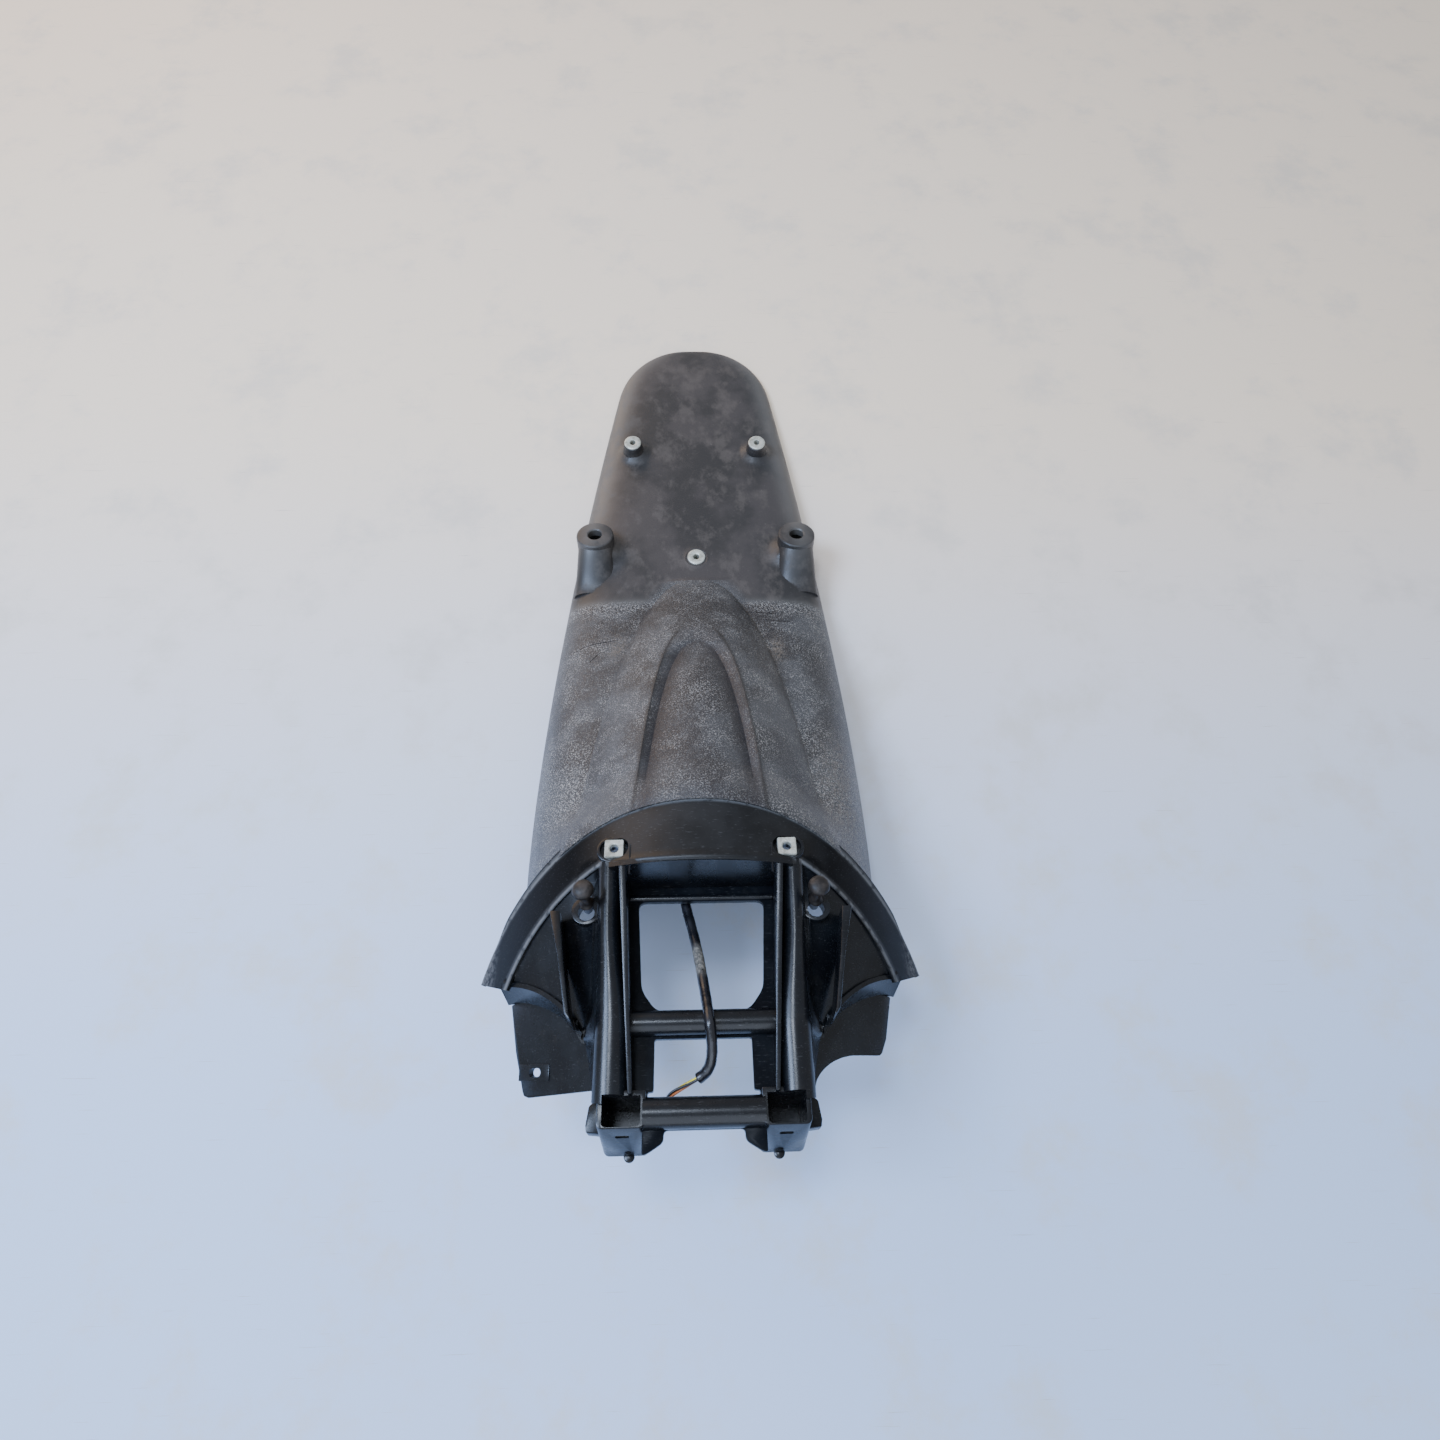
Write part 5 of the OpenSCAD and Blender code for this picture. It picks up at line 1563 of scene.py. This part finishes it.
@dataclass(frozen=True)
class ZincPlate:
    """Dull pale zinc on the inserts and nuts, with turning marks and dark specks of tarnish."""

    pale: str = "c9cabf"
    dull: str = "9a998d"
    tarnish: str = "4b4337"

    def material(self) -> bpy.types.Material:
        """Mix the finish."""
        # Zinc plating gone dull: a pale grey with a broad, slightly milky glint.
        c = Coat("zinc plated steel", Metallic=0.45)
        clouds = c.noise(4.5, 6, 0.65)
        colour = c.mixed(c.window(clouds, 0.42, 0.66), shade(self.pale), shade(self.dull))
        specks = c.window(c.noise(1.1, 4, 0.7), 0.6, 0.74)
        colour = c.mixed(c.times(specks, 0.6), colour, shade(self.tarnish))
        rough = c.window(clouds, 0.35, 0.7, 0.36, 0.58)
        return c.finished(colour, rough, c.bump(c.noise(0.5, 3), 0.03, 0.5))


@dataclass(frozen=True)
class PegRubber:
    """The pegs' dusty brownish-grey rubber."""

    rubber: str = "1b1817"
    bloom: str = "38322e"

    def material(self) -> bpy.types.Material:
        """Mix the finish."""
        # Rubber with wax bloomed out on its surface: dark, matt, with hardly a highlight.
        c = Coat("moulded rubber, bloomed", Specular_IOR_Level=0.35)
        colour = c.mixed(c.window(c.noise(4.5, 5, 0.6), 0.42, 0.7), shade(self.rubber), shade(self.bloom))
        return c.finished(colour, 0.5, c.bump(c.noise(0.7, 4), 0.03, 0.4))


@dataclass(frozen=True)
class SleeveVinyl:
    """The sleeve's shiny black vinyl, with a patch of worn grey tape where its attribute says so."""

    vinyl: str = "101116"
    tape: str = "4f4d49"
    frayed: str = "7d7a72"

    def material(self) -> bpy.types.Material:
        """Mix the finish: wrinkles across the sleeve, and tape with frayed pale edges."""
        # Soft vinyl: black, with a long bright glint along the sleeve that its wrinkles break up.
        c = Coat("vinyl sleeving", Specular_IOR_Level=0.6, IOR=1.52)
        tape = c.times(c.painted("tape"), c.window(c.noise(3.2, 5, 0.7), 0.32, 0.46))
        torn = c.mixed(c.window(c.noise(1.4, 4, 0.7), 0.45, 0.6), shade(self.tape), shade(self.frayed))
        colour = c.mixed(c.window(c.noise(7, 4), 0.4, 0.7), shade(self.vinyl), shade("1c1d23"))
        colour = c.mixed(tape, colour, torn)
        rough = c.blended(tape, c.window(c.noise(5, 4), 0.35, 0.7, 0.22, 0.36), 0.75)
        relief = c.maths("ADD", c.noise(2.2, 3, 0.5, c.stretched(0.5, 1, 1)), c.times(tape, 1.2))
        return c.finished(colour, rough, c.bump(relief, 0.16, 0.6))


@dataclass(frozen=True)
class WireInsulation:
    """A lead's thin coloured insulation."""

    colour: WireColour

    def material(self) -> bpy.types.Material:
        """Mix the finish: the plain colour with a little grime."""
        # Insulation of plasticised vinyl: one plain colour with a narrow glint along the wire.
        c = Coat("wire insulation, " + self.colour.name.lower(), IOR=1.52)
        grime = c.window(c.noise(1.6, 4, 0.65), 0.5, 0.7, 0, 0.4)
        colour = c.mixed(grime, shade(self.colour.value), shade("2a2622"))
        return c.finished(colour, 0.36, c.bump(c.noise(0.8, 3), 0.03, 0.4))


@dataclass(frozen=True)
class PlugNylon:
    """The plugs' black moulded nylon."""

    nylon: str = "191a1d"

    def material(self) -> bpy.types.Material:
        """Mix the finish."""
        # Nylon: an even colour with a soft satin sheen on its flat sides.
        c = Coat("moulded nylon", IOR=1.53)
        colour = c.mixed(c.window(c.noise(4, 5), 0.45, 0.7), shade(self.nylon), shade("2c2c2e"))
        return c.finished(colour, 0.46, c.bump(c.noise(0.35, 3), 0.03, 0.5))


@dataclass(frozen=True)
class BenchPaint:
    """The bench's worn pale paint, with rubbed clouds and a few faint hairline scratches."""

    pale: str = "c2d8fa"
    warm: str = "fcead2"
    rubbed: str = "cfcac2"

    def material(self) -> bpy.types.Material:
        """Mix the finish: painted light, cooler near the camera and warmer behind the tail, as the room's
        light is.
        """
        # Old paint on board: pale and nearly matt, so light spreads over it without a glint.
        c = Coat("painted board, worn", Specular_IOR_Level=0.3)
        along = add_node(c.tree, "ShaderNodeSeparateXYZ", {0: c.where}).outputs[1]
        # Painted light: the paint runs from a cool tint near the camera to a warm tint behind the tail.
        colour = c.mixed(c.window(along, -0.35, 0.3), shade(self.pale), shade(self.warm))
        colour = c.mixed(c.window(c.noise(90, 6, 0.65), 0.48, 0.7, 0, 0.5), colour, shade(self.rubbed))
        hair = c.window(c.noise(2.5, 2, 0.5, c.stretched(0.06, 2.4, 1)), 0.7, 0.76, 0, 0.35)
        colour = c.mixed(hair, colour, shade("9a8672"))
        return c.finished(colour, 0.6, c.bump(c.noise(5, 5), 0.1, 0.25))


# Wear

SKIN_CRACKS = (
    ((-90.8, 270.5), (-78.6, 274.5), (-67.7, 276.0), (-57.5, 277.6)),
    ((-78.0, 257.4), (-74.5, 261.4), (-70.3, 266.2)),
    ((38.3, 305.3), (51.0, 305.2), (63.0, 303.4)),
    ((48.5, 297.6), (61.9, 296.6), (72.3, 295.7)),
)


@dataclass
class Cracks:
    """The thin dark cracks in the skin behind the hump, as narrow ribbons that lie on it and carry the
    painted shade inside each crack.
    """

    material: bpy.types.Material = field(repr=False)
    width: float = 0.5
    lines: tuple[tuple[tuple[float, float], ...], ...] = SKIN_CRACKS

    def ribbon(self, line: np.ndarray) -> Form:
        """Return one crack's ribbon, pointed at both ends and wandering a little.

        Args:
            line: its points seen from above.

        Returns:
            The closed ribbon, just proud of the skin.
        """
        fine = smooth_line(line, 8)
        t = np.linspace(0, 1, len(fine))
        fine = fine + np.c_[0.18 * np.sin(t * 23), 0.22 * np.sin(t * 31 + 1)]
        way = np.gradient(fine, axis=0)
        side = np.c_[-way[:, 1], way[:, 0]] / np.linalg.norm(way, axis=1, keepdims=True)
        half = self.width / 2 * (0.2 + 0.8 * np.sin(math.pi * t)) * (1 + 0.3 * np.sin(t * 40))
        edges = np.stack([fine - side * half[:, None], fine + side * half[:, None]], 1)
        z = LINES.surface(edges[..., 0], edges[..., 1])
        upper = np.concatenate([edges, z[..., None] + 0.07], -1)
        return closed_sheet(upper[:, ::-1], upper[:, ::-1] - [0, 0, 0.3])

    def build(self) -> bpy.types.Object:
        """Build all the cracks as one piece."""
        piece = add_piece("skin_cracks", merged([self.ribbon(np.array(line, float)) for line in self.lines]))
        return dress(piece, self.material, edge=60)


@dataclass(frozen=True)
class CrackShadow:
    """The dark fill of the skin's cracks: the shade inside them painted in, with the dirt packed in them."""

    def material(self) -> bpy.types.Material:
        """Mix the finish."""
        # Dirt packed in a crack, with the crack's inner shade painted in: almost black and dull, so the crack
        # reads as a thin dark line.
        c = Coat("crack shade and dirt", Specular_IOR_Level=0.1)
        colour = c.mixed(c.window(c.noise(1.5, 4), 0.4, 0.7), shade("141316"), shade("2b2522"))
        return c.finished(colour, 0.8, c.bump(c.noise(0.4, 3), 0.03, 0.5))


# The room


@dataclass(frozen=True)
class Viewpoint:
    """The photograph's camera, in millimetres on the bench drawing and degrees."""

    spot: tuple[float, float, float] = (-2.3, 0.0, 580.0)
    pitch: float = 22.0
    yaw: float = -4.68
    roll: float = 3.70
    focal_px: float = 811.0
    frame_px: float = 1440.0

    def build(self) -> bpy.types.Object:
        """Make the camera and its place, and make it the scene's camera."""
        data = bpy.data.cameras.new("photo_view")
        data.sensor_width = 36.0
        data.lens = 36.0 * self.focal_px / self.frame_px
        data.clip_start = 0.01
        camera = bpy.data.objects.new("photo_view", data)
        bpy.context.scene.collection.objects.link(camera)
        a, b = math.radians(self.pitch), math.radians(self.roll)
        turn = np.array(Matrix.Rotation(math.radians(self.yaw), 3, "Z"))
        right = turn @ [1, 0, 0]
        ahead = turn @ [0, math.sin(a), -math.cos(a)]
        up = turn @ [0, math.cos(a), math.sin(a)]
        across = math.cos(b) * right + math.sin(b) * up
        upward = math.cos(b) * up - math.sin(b) * right
        spot = (np.array(self.spot) - [0, MIDDLE_Y, 0]) / 1000
        columns = np.stack([across, upward, -ahead, spot], 1)
        camera.matrix_world = Matrix([*columns.tolist(), [0, 0, 0, 1]])
        bpy.context.scene.camera = camera
        return camera


@dataclass
class Room:
    """The plain bench and the soft lights round it."""

    bench_m: float = 16.0

    def bench(self) -> bpy.types.Object:
        """Lay the bench's flat board under the fender."""
        h = self.bench_m / 2 * 1000
        grid = np.array([[[-h, -h, 0], [h, -h, 0]], [[-h, h, 0], [h, h, 0]]], float)
        sheet = closed_sheet(grid, grid - [0, 0, 20])
        board = add_piece("bench_board", sheet)
        board.data.materials.append(BenchPaint().material())
        return board

    @staticmethod
    def lamp(
        name: str, spot: tuple[float, float, float], aim: tuple[float, float, float], size: float,
        power: float, colour: str,
    ) -> bpy.types.Object:  # fmt: skip
        """Hang a square soft light.

        Args:
            name: the light's name.
            spot: where it hangs, in metres.
            aim: the point that it shines at.
            size: the length of its side.
            power: its power in watts.
            colour: its screen colour.

        Returns:
            The light.
        """
        data = bpy.data.lights.new(name, "AREA")
        data.size, data.energy, data.color = size, power, shade(colour)[:3]
        lamp = bpy.data.objects.new(name, data)
        way = np.array(aim) - np.array(spot)
        z = -way / np.linalg.norm(way)
        x = np.cross([0.0, 1.0, 0.02], z)
        x /= np.linalg.norm(x)
        lamp.matrix_world = Matrix([*np.stack([x, np.cross(z, x), z, spot], 1).tolist(), [0, 0, 0, 1]])
        bpy.context.scene.collection.objects.link(lamp)
        return lamp

    def build(self) -> None:
        """Lay the bench, hang the lights and give the room its even pale glow."""
        self.bench()
        self.lamp("window_left", (-0.95, -0.15, 1.45), (0, -0.02, 0), 0.6, 32, "bcd4fb")
        self.lamp("window_front", (-0.25, -1.7, 1.35), (0, -0.1, 0.05), 2.0, 30, "d9e6fb")
        self.lamp("window_rear", (-1.4, 2.0, 0.9), (0, 0.2, 0), 1.8, 28, "ffd6a8")
        self.lamp("skylight", (-0.3, 0.22, 1.9), (0, 0, 0), 0.34, 13, "dbe8fc")
        world = bpy.data.worlds.new("room")
        world.use_nodes = True
        sky = world.node_tree.nodes["Background"]
        sky.inputs[0].default_value = shade("e3e8f0")
        sky.inputs[1].default_value = 0.6
        bpy.context.scene.world = world


# The scene


def main() -> None:
    """Build the camera, the loom, the moulding, its fittings and the room, and report each piece."""
    logging.basicConfig(level=logging.INFO, format="%(name)s: %(message)s")
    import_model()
    Viewpoint().build()
    leads = {colour: WireInsulation(colour).material() for colour in WireColour}
    plastic, gloss = WeatheredPolypropylene().material(), GlossyPolypropylene().material()
    zinc = ZincPlate().material()
    carrier = FrontCarrier(gloss)
    loom = Loom(SleeveVinyl().material(), leads, PlugNylon().material(), carrier.bar_front)
    pieces = [
        *loom.build(),
        RearSkin(plastic).build(),
        carrier.build(),
        PlateInserts(zinc).build(),
        SquareNuts(zinc).build(),
        RubberPegs(PegRubber().material()).build(),
        FrontPins(gloss).build(),
        Cracks(CrackShadow().material()).build(),
    ]
    for piece in pieces:
        LOG.info("%s has %d faces", piece.name, len(piece.data.polygons))
    Room().build()


if __name__ == "__main__":
    main()
